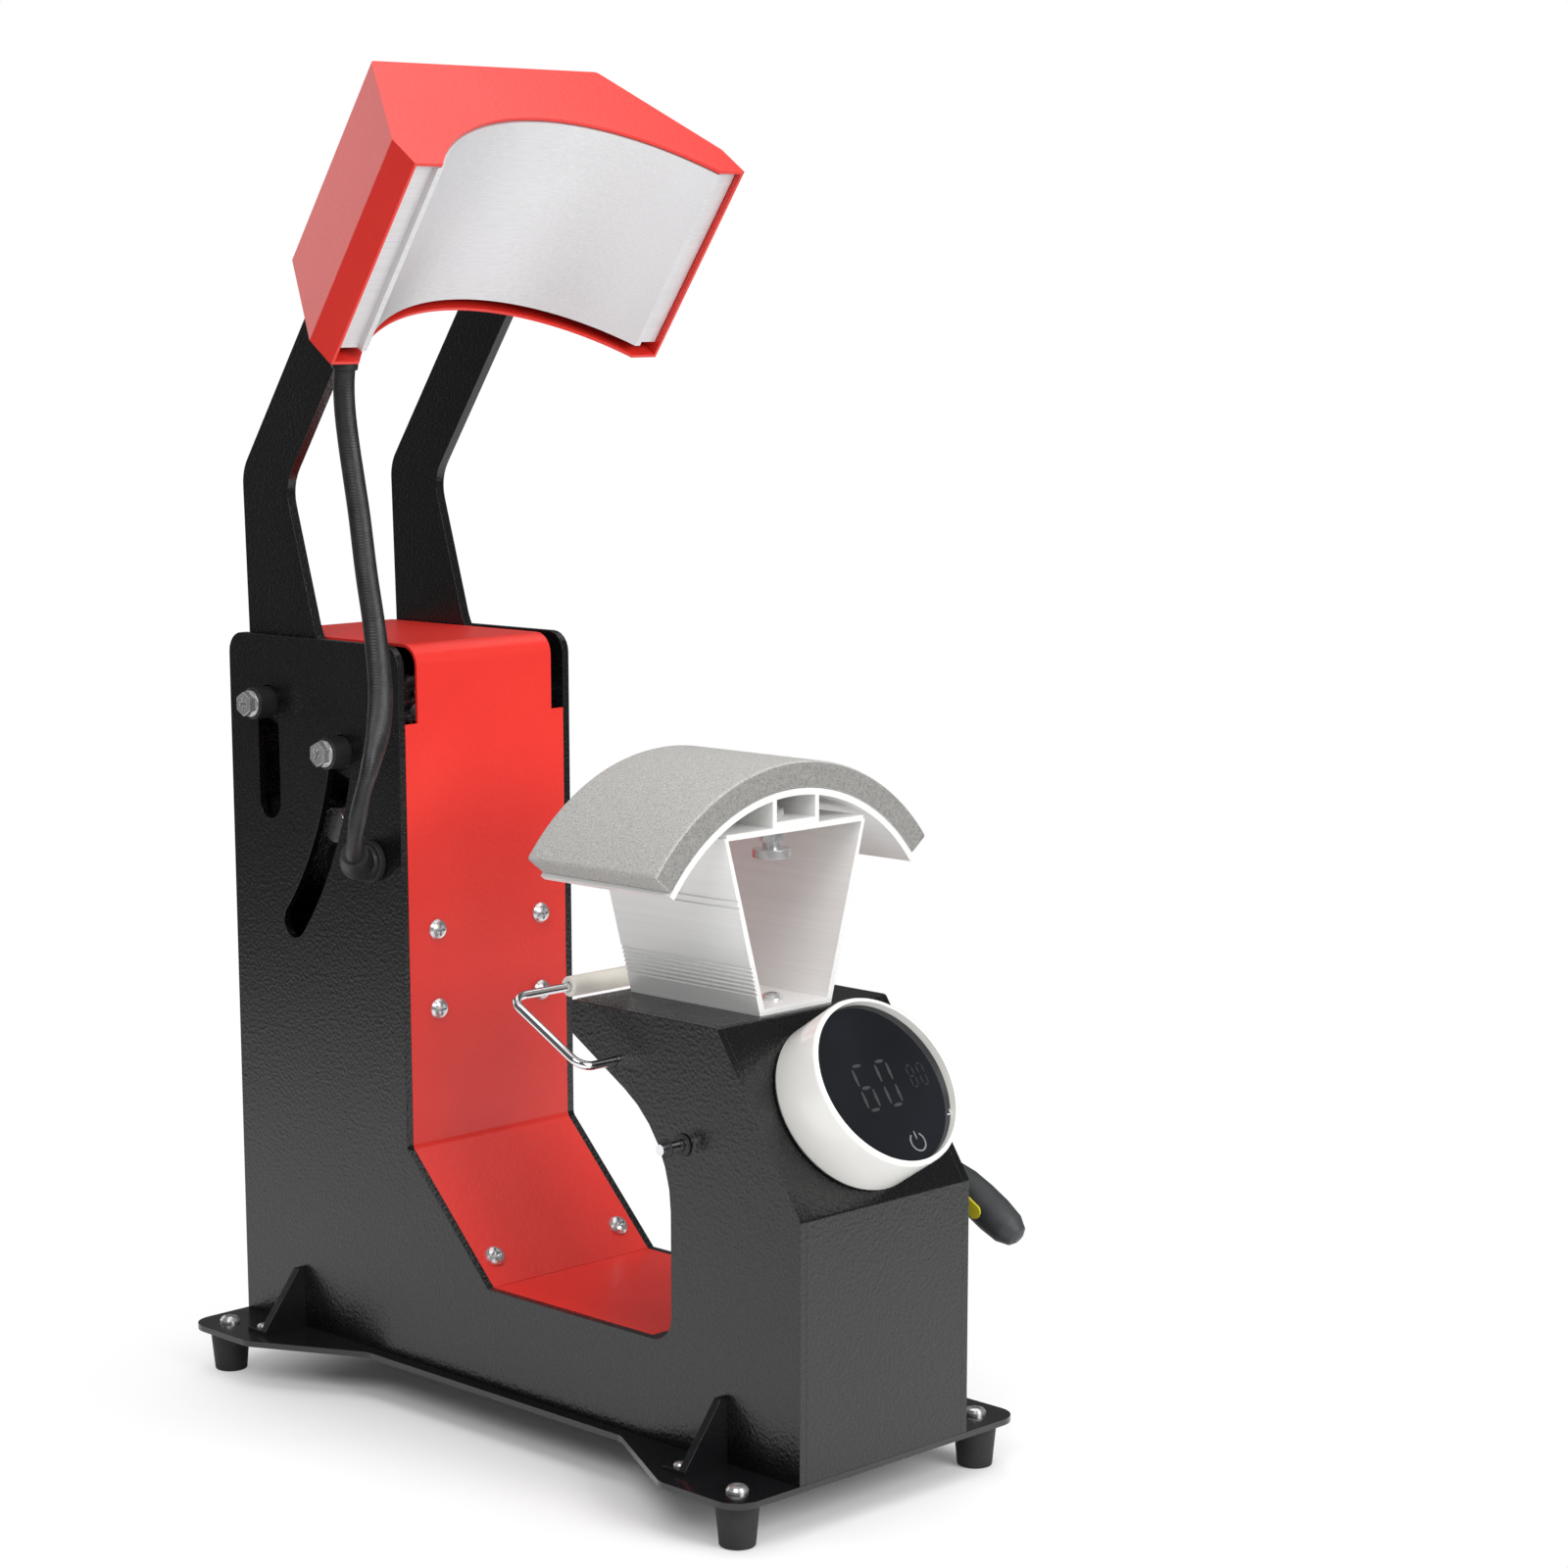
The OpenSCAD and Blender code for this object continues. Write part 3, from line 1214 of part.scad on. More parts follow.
shaft_bushes();
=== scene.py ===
# Looks of the cap heat press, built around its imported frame.
# Metres. Places handed to at() are in millimetres, with Y from the front of the body.
import json
import math

import bmesh
import bpy
from mathutils import Matrix, Vector


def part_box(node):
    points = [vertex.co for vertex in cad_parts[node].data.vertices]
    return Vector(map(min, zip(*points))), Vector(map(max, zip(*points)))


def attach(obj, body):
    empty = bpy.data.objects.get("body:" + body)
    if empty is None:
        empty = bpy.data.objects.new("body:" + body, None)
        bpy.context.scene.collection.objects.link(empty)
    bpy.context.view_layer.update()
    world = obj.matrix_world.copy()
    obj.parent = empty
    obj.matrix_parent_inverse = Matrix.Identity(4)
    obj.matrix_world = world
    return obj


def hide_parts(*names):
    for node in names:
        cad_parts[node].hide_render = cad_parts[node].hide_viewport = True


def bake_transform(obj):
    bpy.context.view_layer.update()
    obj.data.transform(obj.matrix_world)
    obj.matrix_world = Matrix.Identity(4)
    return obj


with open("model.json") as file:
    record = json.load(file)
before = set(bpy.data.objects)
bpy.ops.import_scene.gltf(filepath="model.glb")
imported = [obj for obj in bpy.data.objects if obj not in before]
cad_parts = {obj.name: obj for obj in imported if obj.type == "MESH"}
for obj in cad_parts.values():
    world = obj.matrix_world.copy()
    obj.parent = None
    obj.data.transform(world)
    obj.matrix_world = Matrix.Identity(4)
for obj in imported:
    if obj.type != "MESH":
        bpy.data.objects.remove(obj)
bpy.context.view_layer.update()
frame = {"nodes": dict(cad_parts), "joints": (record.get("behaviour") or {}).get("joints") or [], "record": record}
nodes = frame["nodes"]
record = frame["record"]
joints = {joint["name"]: joint for joint in frame["joints"]}
slots = {part["node"]: part["material_slot"] for part in record["subparts"]}
bodies = {node: body for body, members in record["behaviour"]["bodies"].items() for node in members}

MM = 0.001
NEAR = 1e-6
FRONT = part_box("left_side_plate")[0].y
SWING = math.radians(joints["head_swing"]["range_deg"][1])


def at(x, y, z):
    """A point given in millimetres, with Y from the front of the body."""
    return Vector((x * MM, FRONT + y * MM, z * MM))


# Camera at the photograph's viewing angle

# The photograph's side, with the focal length and the optical centre in its pixels
PHOTO = 1600
FOCAL_PIXELS = 3550
CENTRE_PIXEL = (573.2, 997.7)
CAMERA_PLACE = at(-1086, -991, 519.4)
CAMERA_AIM = Vector((0.6595, 0.7282, -0.1868))
CAMERA_RIGHT = Vector((0.7396, -0.6729, -0.0118))
CAMERA_REACH = 40
SENSOR = 36


def make_camera():
    """A camera with the place, lens and shift that fit the photograph."""
    aim = CAMERA_AIM.normalized()
    right = (CAMERA_RIGHT - aim * CAMERA_RIGHT.dot(aim)).normalized()
    up = right.cross(aim)
    data = bpy.data.cameras.new("camera")
    data.sensor_width = SENSOR
    data.lens = SENSOR * FOCAL_PIXELS / PHOTO
    data.shift_x = (PHOTO / 2 - CENTRE_PIXEL[0]) / PHOTO
    data.shift_y = (CENTRE_PIXEL[1] - PHOTO / 2) / PHOTO
    data.clip_end = CAMERA_REACH
    camera = bpy.data.objects.new("camera", data)
    turn = Matrix((right, up, -aim)).transposed().to_4x4()
    camera.matrix_world = Matrix.Translation(CAMERA_PLACE) @ turn
    bpy.context.scene.collection.objects.link(camera)
    bpy.context.scene.camera = camera


make_camera()


# Helpers for pieces


def finished(bm, name, smooth_angle=35):
    """Makes an object of a bmesh, with its place in its mesh and its sharp edges marked."""
    mesh = bpy.data.meshes.new(name)
    bm.to_mesh(mesh)
    bm.free()
    for face in mesh.polygons:
        face.use_smooth = True
    mesh.set_sharp_from_angle(angle=math.radians(smooth_angle))
    piece = bpy.data.objects.new(name, mesh)
    bpy.context.scene.collection.objects.link(piece)
    return piece


def outward(bm):
    """Merges doubles and points every face outwards."""
    bmesh.ops.remove_doubles(bm, verts=bm.verts, dist=NEAR)
    bmesh.ops.recalc_face_normals(bm, faces=bm.faces)


def round_edges(bm, width, segments=2, angle=35):
    """Bevels every edge that turns by more than an angle."""
    limit = math.radians(angle)
    edges = [e for e in bm.edges if len(e.link_faces) == 2 and e.calc_face_angle() > limit]
    bmesh.ops.bevel(bm, geom=edges, offset=width, offset_type="OFFSET", segments=segments,
                    profile=0.5, affect="EDGES", clamp_overlap=True, material=-1)


def flat_shaded(piece):
    """Keeps large faces flat beside their rounded edges."""
    weighted = piece.modifiers.new("weighted", "WEIGHTED_NORMAL")
    weighted.keep_sharp = True
    return piece


def add_block(bm, low, high):
    """Adds a block between two corners."""
    matrix = Matrix.Translation((low + high) / 2) @ Matrix.Diagonal((*(high - low), 1))
    bmesh.ops.create_cube(bm, size=1, matrix=matrix)


def edges_of(verts):
    """The edges at some vertices, each once and always in the same order."""
    return list(dict.fromkeys(e for v in verts for e in v.link_edges))


def faces_of(verts):
    """The faces at some vertices, each once and always in the same order."""
    return list(dict.fromkeys(f for v in verts for f in v.link_faces))


def open_edges(bm):
    """The edges round the holes of a mesh."""
    return [e for e in bm.edges if e.is_boundary]


# Cable of the head

# From the gland down to the grommet in the left side plate
CABLE_ROUTE = [(-58, 279.3, 518.2), (-58, 283.4, 512.7), (-57.9, 287.6, 504.5),
               (-57.7, 290.2, 492), (-57.2, 290.6, 478), (-56.6, 289, 462), (-56.6, 285.6, 445),
               (-57.6, 281, 428), (-59.6, 274.5, 403), (-61.2, 267.5, 378), (-64, 260.6, 351),
               (-69, 256.6, 332), (-75, 255.4, 316), (-78.8, 257.3, 302), (-79.2, 261, 289.5),
               (-76.6, 266.4, 279), (-71.5, 273, 271), (-65.5, 279.3, 267), (-62, 281, 266),
               (-58, 281, 266)]
# The point of the route where the two stretches join
CABLE_JOIN = 10
CABLE_STEPS = 6
CABLE_SIDES = 24
CABLE_W = 11.4 * MM
CABLE_T = 8.0 * MM
CABLE_LUMP = 0.06
CABLE_LUMP_STEP = 0.55
# Share of the route, the width's factor there, and the direction of the width
CABLE_FORM = [(0.0, 0.95, (0.74, -0.67, 0.1)), (0.2, 0.88, (0.74, -0.67, 0.1)),
              (0.45, 0.92, (0.74, -0.67, 0.0)), (0.55, 1.05, (0.8, -0.4, -0.2)),
              (0.66, 1.05, (0.7, 0.6, -0.4)), (0.76, 1.0, (0.66, 0.73, -0.2)),
              (0.88, 0.95, (0.8, 0.1, 0.6)), (1.0, 0.9, (0.0, -0.6, 0.8))]


def smooth_line(points, steps):
    """A line that runs smoothly through points, with some steps from each to the next."""
    line = []
    last = len(points) - 1
    for i in range(last):
        a, b, c, d = (points[max(0, min(last, i + k))] for k in (-1, 0, 1, 2))
        for s in range(steps):
            t = s / steps
            line.append(0.5 * (2 * b + (c - a) * t + (2 * a - 5 * b + 4 * c - d) * t ** 2
                               + (3 * b - a - 3 * c + d) * t ** 3))
    line.append(points[last])
    return line


def cable_form(share):
    """The cable's width factor and the direction of its width at a share of its route."""
    for (s0, w0, d0), (s1, w1, d1) in zip(CABLE_FORM, CABLE_FORM[1:]):
        if share <= s1:
            t = (share - s0) / (s1 - s0)
            t = t * t * (3 - 2 * t)
            return w0 + (w1 - w0) * t, Vector(d0).lerp(Vector(d1), t)
    return CABLE_FORM[-1][1], Vector(CABLE_FORM[-1][2])


def ring_on(bm, place, aim, wide, half_w, half_t, sides):
    """A ring of edges round a point, square to aim and as wide as its two half sizes."""
    x = (wide - aim * wide.dot(aim)).normalized()
    y = aim.cross(x)
    turn = Matrix((x * half_w, y * half_t, aim)).transposed().to_4x4()
    made = bmesh.ops.create_circle(bm, cap_ends=False, segments=sides, radius=1,
                                   matrix=Matrix.Translation(place) @ turn)
    return edges_of(made["verts"])


def sweep(bm, line, form, sides):
    """A closed tube along a line. form gives each point's width direction and half sizes."""
    last = len(line) - 1
    rings = []
    for i, place in enumerate(line):
        aim = (line[min(i + 1, last)] - line[max(i - 1, 0)]).normalized()
        wide, half_w, half_t = form(i)
        rings.append(ring_on(bm, place, aim, wide, half_w, half_t, sides))
    for a, b in zip(rings, rings[1:]):
        bmesh.ops.bridge_loops(bm, edges=a + b)
    bmesh.ops.holes_fill(bm, edges=rings[0] + rings[-1], sides=0)
    bmesh.ops.recalc_face_normals(bm, faces=bm.faces)


def make_cable():
    """The flat sheath of the head's cable, in two stretches split where the route's stretches join."""
    line = smooth_line([at(*p) for p in CABLE_ROUTE], CABLE_STEPS)
    whole = len(line) - 1
    join = CABLE_JOIN * CABLE_STEPS

    def form(first):
        def at_point(i):
            factor, wide = cable_form((first + i) / whole)
            lump = 1 + CABLE_LUMP * math.sin((first + i) * CABLE_LUMP_STEP)
            return wide, CABLE_W / 2 * factor, CABLE_T / 2 * lump
        return at_point

    made = []
    for name, first, end in (("head_cable_upper", 0, join), ("head_cable_lower", join, whole)):
        bm = bmesh.new()
        part = line[first:end + 1]
        sweep(bm, part, form(first), CABLE_SIDES)
        made.append((finished(bm, name), part))
    return made


(upper_cable, upper_line), (lower_cable, lower_line) = make_cable()
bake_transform(upper_cable)
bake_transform(lower_cable)
for cable in (upper_cable, lower_cable):
    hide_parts("head_cable")


def finer(line, count, length):
    """The first stretch of a line with a given length, as evenly spaced points."""
    places = [0.0]
    for a, b in zip(line, line[1:]):
        places.append(places[-1] + (b - a).length)
    points = []
    for k in range(count + 1):
        want = length * k / count
        i = max(j for j in range(len(places)) if places[j] <= want + NEAR)
        i = min(i, len(line) - 2)
        share = (want - places[i]) / (places[i + 1] - places[i])
        points.append(line[i].lerp(line[i + 1], share))
    return points


# Strain reliefs: length, radius at the root and at the tip, steps, and the depth of the ribs
GLAND_RELIEF = (24 * MM, 7.6 * MM, 6.2 * MM, 22, 0.45 * MM)
FOOT_RELIEF = (20 * MM, 9.2 * MM, 6.6 * MM, 20, 0)


def make_relief(name, line, sizes):
    """A tapered strain relief along the first stretch of a line."""
    length, root, tip, steps, rib = sizes
    wide = Vector(CABLE_FORM[0][2])

    def form(i):
        groove = rib if i % 2 and i < steps - 1 else 0
        half = root + (tip - root) * (i / steps) - groove
        return wide, half, half
    bm = bmesh.new()
    sweep(bm, finer(line, steps, length), form, CABLE_SIDES)
    return finished(bm, name, 50)


gland_relief = make_relief("head_gland_relief", upper_line, GLAND_RELIEF)
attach(gland_relief, "head")
foot_relief = make_relief("body_grommet_relief", lower_line[::-1], FOOT_RELIEF)
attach(foot_relief, "body")


# Finishes
# Patterns are given as features for each metre, and reliefs as a strength and a height in metres.


class Finish:
    """A principled material with a few helpers for its pattern."""

    def __init__(self, name, colour, roughness, metallic=0.0, specular=0.5, coat=0.0,
                 coat_roughness=0.1):
        self.material = bpy.data.materials.new(name)
        self.material.use_nodes = True
        self.tree = self.material.node_tree
        self.shader = self.tree.nodes["Principled BSDF"]
        self.put("Base Color", (*colour, 1))
        self.put("Roughness", roughness)
        self.put("Metallic", metallic)
        self.put("Specular IOR Level", specular)
        self.put("Coat Weight", coat)
        self.put("Coat Roughness", coat_roughness)
        self.reliefs = []
        coords = self.tree.nodes.new("ShaderNodeTexCoord")
        self.coords = coords.outputs["Object"]

    def put(self, socket, value):
        self.shader.inputs[socket].default_value = value

    def link(self, output, socket):
        self.tree.links.new(output, socket)

    def grain_space(self, size, turn=(0, 0, 0)):
        """Object coordinates turned, then divided by a size along each axis."""
        mapping = self.tree.nodes.new("ShaderNodeMapping")
        mapping.vector_type = "TEXTURE"
        mapping.inputs["Scale"].default_value = size
        mapping.inputs["Rotation"].default_value = turn
        self.link(self.coords, mapping.inputs["Vector"])
        return mapping.outputs["Vector"]

    def noise(self, scale, detail=2.0, space=None, distortion=0.0):
        """Cloudy pattern."""
        node = self.tree.nodes.new("ShaderNodeTexNoise")
        node.inputs["Scale"].default_value = scale
        node.inputs["Detail"].default_value = detail
        node.inputs["Distortion"].default_value = distortion
        self.link(space or self.coords, node.inputs["Vector"])
        return node.outputs["Fac"]

    def cells(self, scale, smooth=0.6):
        """Rounded cells, lowest in their middle."""
        node = self.tree.nodes.new("ShaderNodeTexVoronoi")
        node.feature = "SMOOTH_F1"
        node.inputs["Scale"].default_value = scale
        node.inputs["Smoothness"].default_value = smooth
        self.link(self.coords, node.inputs["Vector"])
        return node.outputs["Distance"]

    def waves(self, scale, direction, distortion):
        """Bands across a direction."""
        node = self.tree.nodes.new("ShaderNodeTexWave")
        node.bands_direction = direction
        node.inputs["Scale"].default_value = scale
        node.inputs["Distortion"].default_value = distortion
        self.link(self.coords, node.inputs["Vector"])
        return node.outputs["Fac"]

    def colours(self, value, stops):
        """Base colour from a value, through stops of place and colour."""
        ramp = self.tree.nodes.new("ShaderNodeValToRGB")
        elements = ramp.color_ramp.elements
        while len(elements) < len(stops):
            elements.new(0.5)
        for element, (place, colour) in zip(elements, stops):
            element.position = place
            element.color = (*colour, 1)
        self.link(value, ramp.inputs["Fac"])
        self.link(ramp.outputs["Color"], self.shader.inputs["Base Color"])

    def roughness(self, value, low, high):
        """Roughness between two values, over the middle half of a pattern's range."""
        node = self.tree.nodes.new("ShaderNodeMapRange")
        for socket, number in (("From Min", 0.25), ("From Max", 0.75), ("To Min", low),
                               ("To Max", high)):
            node.inputs[socket].default_value = number
        self.link(value, node.inputs["Value"])
        self.link(node.outputs["Result"], self.shader.inputs["Roughness"])

    def bump(self, value, strength, distance):
        """Lays a relief over the ones before it."""
        node = self.tree.nodes.new("ShaderNodeBump")
        node.inputs["Strength"].default_value = strength
        node.inputs["Distance"].default_value = distance
        self.link(value, node.inputs["Height"])
        if self.reliefs:
            self.link(self.reliefs[-1], node.inputs["Normal"])
        self.reliefs.append(node.outputs["Normal"])
        self.link(node.outputs["Normal"], self.shader.inputs["Normal"])


def hammered(name, dark, light, roughness, specular, coat, depth):
    """Hammer paint: small smooth dimples with a finer orange peel between them."""
    finish = Finish(name, light, roughness, specular=specular, coat=coat, coat_roughness=0.22)
    tone = finish.noise(14, 3)
    finish.colours(tone, [(0.3, dark), (0.72, light)])
    finish.roughness(finish.noise(900, 2), roughness - 0.05, roughness + 0.05)
    finish.bump(finish.cells(620, 1.0), 0.5 * depth, 0.00035)
    finish.bump(finish.noise(1500, 1), 0.25 * depth, 0.00015)
    return finish.material


def red_paint():
    """The head, the column's cover and the floor of the throat."""
    return hammered("red_hammer_paint", (0.72, 0.024, 0.016), (0.79, 0.032, 0.021), roughness=0.34,
                    specular=0.5, coat=0.08, depth=0.45)


def black_paint():
    """The side plates, the arms, the front and the rear."""
    return hammered("black_hammer_paint", (0.002, 0.0021, 0.0025), (0.0042, 0.0044, 0.0052),
                    roughness=0.27, specular=0.62, coat=0.0, depth=0.8)


def black_gloss():
    """The smoother black of the base plate and its gussets."""
    finish = Finish("black_gloss_paint", (0.008, 0.008, 0.009), 0.2, coat=0.3)
    finish.colours(finish.noise(20, 3),
                   [(0.3, (0.006, 0.006, 0.007)), (0.7, (0.011, 0.011, 0.012))])
    finish.roughness(finish.noise(300, 3), 0.16, 0.27)
    finish.bump(finish.noise(420, 2), 0.25, 0.0003)
    return finish.material


def turned_metal(name, colour, roughness):
    """Plated or turned metal with faint soft marks."""
    finish = Finish(name, colour, roughness, metallic=0.8)
    darker = tuple(c * 0.82 for c in colour)
    finish.colours(finish.noise(45, 1), [(0.32, darker), (0.62, colour)])
    finish.roughness(finish.noise(140, 1), roughness - 0.04, roughness + 0.06)
    finish.bump(finish.noise(210, 1), 0.02, 0.0001)
    return finish.material


def chrome():
    """Bright plating of the bail, the shaft and the crank."""
    finish = Finish("bright_chrome", (0.80, 0.80, 0.81), 0.09, metallic=1.0)
    finish.roughness(finish.noise(160, 3), 0.06, 0.16)
    finish.bump(finish.noise(900, 2), 0.05, 0.00005)
    return finish.material


def drawn_aluminium():
    """Extruded aluminium: die lines run from front to back."""
    finish = Finish("drawn_aluminium", (0.85, 0.85, 0.84), 0.42, metallic=0.15)
    lines = finish.noise(1, 4, finish.grain_space((0.0011, 0.2, 0.0011)))
    finish.colours(lines, [(0.25, (0.80, 0.80, 0.785)), (0.7, (0.85, 0.85, 0.835))])
    finish.roughness(lines, 0.36, 0.46)
    finish.bump(lines, 0.04, 0.0001)
    finish.bump(finish.noise(1400, 2), 0.08, 0.0001)
    return finish.material


def coated_heater():
    """The hot face: a satin coating over metal, brushed along its curve."""
    finish = Finish("coated_heater", (0.70, 0.70, 0.71), 0.42, metallic=0.4, specular=0.4)
    brushed = finish.noise(1, 4, finish.grain_space((0.09, 0.0007, 0.0007), (-SWING, 0, 0)))
    finish.colours(brushed, [(0.3, (0.66, 0.66, 0.67)), (0.7, (0.74, 0.74, 0.75))])
    finish.roughness(finish.noise(30, 4), 0.36, 0.5)
    finish.bump(brushed, 0.08, 0.0001)
    finish.bump(finish.noise(1300, 2), 0.06, 0.0001)
    return finish.material


def foam_silicone(name, light):
    """Silicone foam: fine open pores and specks round a middle grey."""
    grey = (light, light * 0.98, light * 0.935)
    finish = Finish(name, grey, 0.85, specular=0.2)
    specks = finish.noise(1300, 3)
    finish.colours(specks, [(0.34, tuple(c * 0.74 for c in grey)), (0.48, grey),
                            (0.66, tuple(c * 1.2 for c in grey))])
    finish.bump(finish.noise(1200, 3), 0.25, 0.0004)
    finish.bump(finish.cells(2300), 0.2, 0.0002)
    return finish.material


def matt_plastic(name, dark, light, roughness, grain=900, depth=0.2):
    """Moulded plastic or rubber with a fine spark-eroded grain."""
    finish = Finish(name, light, roughness, specular=0.4)
    finish.colours(finish.noise(60, 3), [(0.3, dark), (0.7, light)])
    finish.roughness(finish.noise(400, 2), roughness - 0.05, roughness + 0.08)
    finish.bump(finish.noise(grain, 2), depth, 0.0002)
    return finish.material


def glossy_white():
    """The round control's moulded ring."""
    finish = Finish("ring_white_gloss", (0.90, 0.89, 0.85), 0.2, coat=0.4, coat_roughness=0.08)
    finish.colours(finish.noise(16, 2), [(0.3, (0.89, 0.88, 0.84)), (0.7, (0.93, 0.92, 0.88))])
    finish.roughness(finish.noise(250, 2), 0.17, 0.26)
    finish.bump(finish.noise(260, 2), 0.04, 0.0002)
    return finish.material


def dark_glass():
    """The round control's smoked glass."""
    finish = Finish("display_glass", (0.006, 0.0065, 0.009), 0.06, coat=0.6, coat_roughness=0.03)
    finish.colours(finish.noise(18, 2),
                   [(0.3, (0.005, 0.0055, 0.0075)), (0.75, (0.010, 0.012, 0.016))])
    finish.roughness(finish.noise(60, 3), 0.04, 0.09)
    finish.bump(finish.noise(1600, 2), 0.02, 0.00005)
    return finish.material


def printed(name, colour):
    """Ink of the marks, slightly uneven."""
    finish = Finish(name, colour, 0.5)
    finish.colours(finish.noise(800, 2), [(0.3, tuple(c * 0.85 for c in colour)), (0.7, colour)])
    return finish.material


def woven_sheath():
    """The cable's heat-proof sheath, with fine threads round it."""
    finish = Finish("cable_sheath", (0.014, 0.014, 0.015), 0.45, specular=0.5)
    threads = finish.waves(230, "Z", 1.2)
    finish.colours(finish.noise(120, 3),
                   [(0.3, (0.008, 0.008, 0.009)), (0.7, (0.019, 0.019, 0.020))])
    finish.roughness(finish.noise(70, 3), 0.36, 0.54)
    finish.bump(threads, 0.18, 0.0003)
    finish.bump(finish.noise(500, 3), 0.35, 0.0004)
    return finish.material


def wool():
    """Mineral wool, with long matted fibres."""
    finish = Finish("mineral_wool", (0.62, 0.58, 0.46), 0.95, specular=0.2)
    fibres = finish.noise(1, 5, finish.grain_space((0.006, 0.0012, 0.0012)), 1.5)
    finish.colours(fibres, [(0.3, (0.45, 0.41, 0.31)), (0.7, (0.70, 0.66, 0.54))])
    finish.bump(fibres, 0.7, 0.0012)
    return finish.material


def circuit_board():
    """Green board with raised tracks."""
    finish = Finish("circuit_board", (0.02, 0.12, 0.05), 0.4)
    tracks = finish.cells(260, 0.0)
    finish.colours(tracks, [(0.35, (0.015, 0.09, 0.035)), (0.6, (0.03, 0.17, 0.07))])
    finish.bump(tracks, 0.2, 0.0002)
    return finish.material


FINISHES = {
    "black_paint": black_paint(),
    "red_paint": red_paint(),
    "black_steel": matt_plastic("blackened_steel", (0.012, 0.012, 0.013), (0.03, 0.03, 0.032),
                                0.42, 700, 0.3),
    "zinc": turned_metal("zinc_plate", (0.74, 0.74, 0.75), 0.26),
    "chrome": chrome(),
    "spring_steel": turned_metal("spring_steel", (0.48, 0.48, 0.50), 0.30),
    "extrusion": drawn_aluminium(),
    "heater": coated_heater(),
    "silicone": foam_silicone("foam_skin", 0.42),
    "black_rubber": matt_plastic("foot_rubber", (0.010, 0.010, 0.010), (0.020, 0.020, 0.021),
                                 0.62, 700, 0.35),
    "grip_rubber": matt_plastic("grip_rubber", (0.030, 0.032, 0.034), (0.045, 0.047, 0.050),
                                0.5, 1100, 0.3),
    "black_nylon": matt_plastic("roller_nylon", (0.010, 0.010, 0.011), (0.022, 0.022, 0.023), 0.42),
    "white_plastic": glossy_white(),
    "black_glass": dark_glass(),
    "circuit_board": circuit_board(),
    "red_plastic": matt_plastic("rocker_red", (0.45, 0.02, 0.015), (0.55, 0.03, 0.02), 0.35),
    "yellow_plastic": matt_plastic("grip_yellow", (0.58, 0.50, 0.02), (0.66, 0.58, 0.03), 0.4),
    "off_white_plastic": matt_plastic("sleeve_white", (0.66, 0.64, 0.57), (0.74, 0.72, 0.65),
                                      0.45, 500, 0.3),
    "mineral_wool": wool(),
    "magnet_steel": turned_metal("magnet_steel", (0.40, 0.40, 0.42), 0.38),
}
GLOSS_BLACK = black_gloss()
SHEATH = woven_sheath()
# A darker copy of the foam for the pad's end faces: painted shade, not a different material
FOAM_SHADED_END = foam_silicone("foam_end_painted_shade", 0.25)


def paint(piece, material):
    """Gives a piece one material in place of those it has."""
    piece.data.materials.clear()
    piece.data.materials.append(material)
    return piece


for name, node in nodes.items():
    paint(node, FINISHES[slots[name]])
for cable in (upper_cable, lower_cable):
    paint(cable, SHEATH)
for relief in (gland_relief, foot_relief):
    paint(relief, FINISHES["black_nylon"])


# Rigid pieces, with their small edge radii in millimetres

EDGE_RADII = {
    "left_side_plate": 0.8, "right_side_plate": 0.8, "front_panel": 0.5, "throat_liner": 0.3,
    "column_cover": 0.35, "floor_cover": 0.35, "rear_cover": 0.3, "base_plate": 0.7,
    "gussets": 0.5, "left_arm": 0.6, "right_arm": 0.6, "head_housing": 0.9, "head_bracket": 0.4,
    "heater_plate": 0.5, "pedestal": 0.3, "saddle": 0.35, "rubber_feet": 0.7,
    "body_grommet": 0.8, "head_gland": 0.6, "dial_ring": 0.3, "dial_base": 0.3, "link_bar": 0.3,
    "bail_tube": 0.3, "bar_bracket": 0.4, "tie_bar": 0.6, "bail_sleeve": 0.8,
    "rear_rollers": 0.6, "front_rollers": 0.6, "rear_guide_screws": 0.25,
    "front_guide_screws": 0.25, "magnet_bracket": 0.4, "keeper": 0.5, "hold_magnet": 0.5,
    "power_inlet": 0.5, "switch_housing": 0.4, "switch_rocker": 0.4, "grip_inserts": 0.2,
    "spring_anchors": 0.4, "dial_glass": 0.3, "arm_bolts": 0.3, "pressure_bolts": 0.3,
    "handle_grip": 0.25, "shaft_bushes": 0.25, "retaining_clip": 0.15,
}


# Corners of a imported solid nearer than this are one, and faces that turn less are one
SOLID_NEAR = 2e-6
SOLID_FLAT = math.radians(0.4)


def edge_rounded(name, radius):
    """A copy of a node's solid with its edges rounded, which stands for the node."""
    bm = bmesh.new()
    bm.from_mesh(nodes[name].data)
    bmesh.ops.remove_doubles(bm, verts=bm.verts, dist=SOLID_NEAR)
    bmesh.ops.dissolve_limit(bm, angle_limit=SOLID_FLAT, verts=bm.verts, edges=bm.edges)
    round_edges(bm, radius * MM)
    bmesh.ops.triangulate(bm, faces=[f for f in bm.faces if len(f.verts) > 4])
    piece = flat_shaded(finished(bm, name + "_finished", 40))
    paint(piece, FINISHES[slots[name]])
    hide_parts(name)
    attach(piece, bodies[name])
    return piece


rounded = {name: edge_rounded(name, radius) for name, radius in EDGE_RADII.items()}
paint(rounded["base_plate"], GLOSS_BLACK)
paint(rounded["gussets"], GLOSS_BLACK)


# Foam pad

PAD_LOW, PAD_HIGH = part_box("foam_pad")
# Height of the centre of its curve, outer radius, thickness, and the angle to each side
ARC_Z = 220.6 * MM
PAD_R = 107.4 * MM
PAD_T = 12 * MM
PAD_HALF = math.radians(52.5)
PAD_STEPS = 60
PAD_EDGE = 1.5 * MM
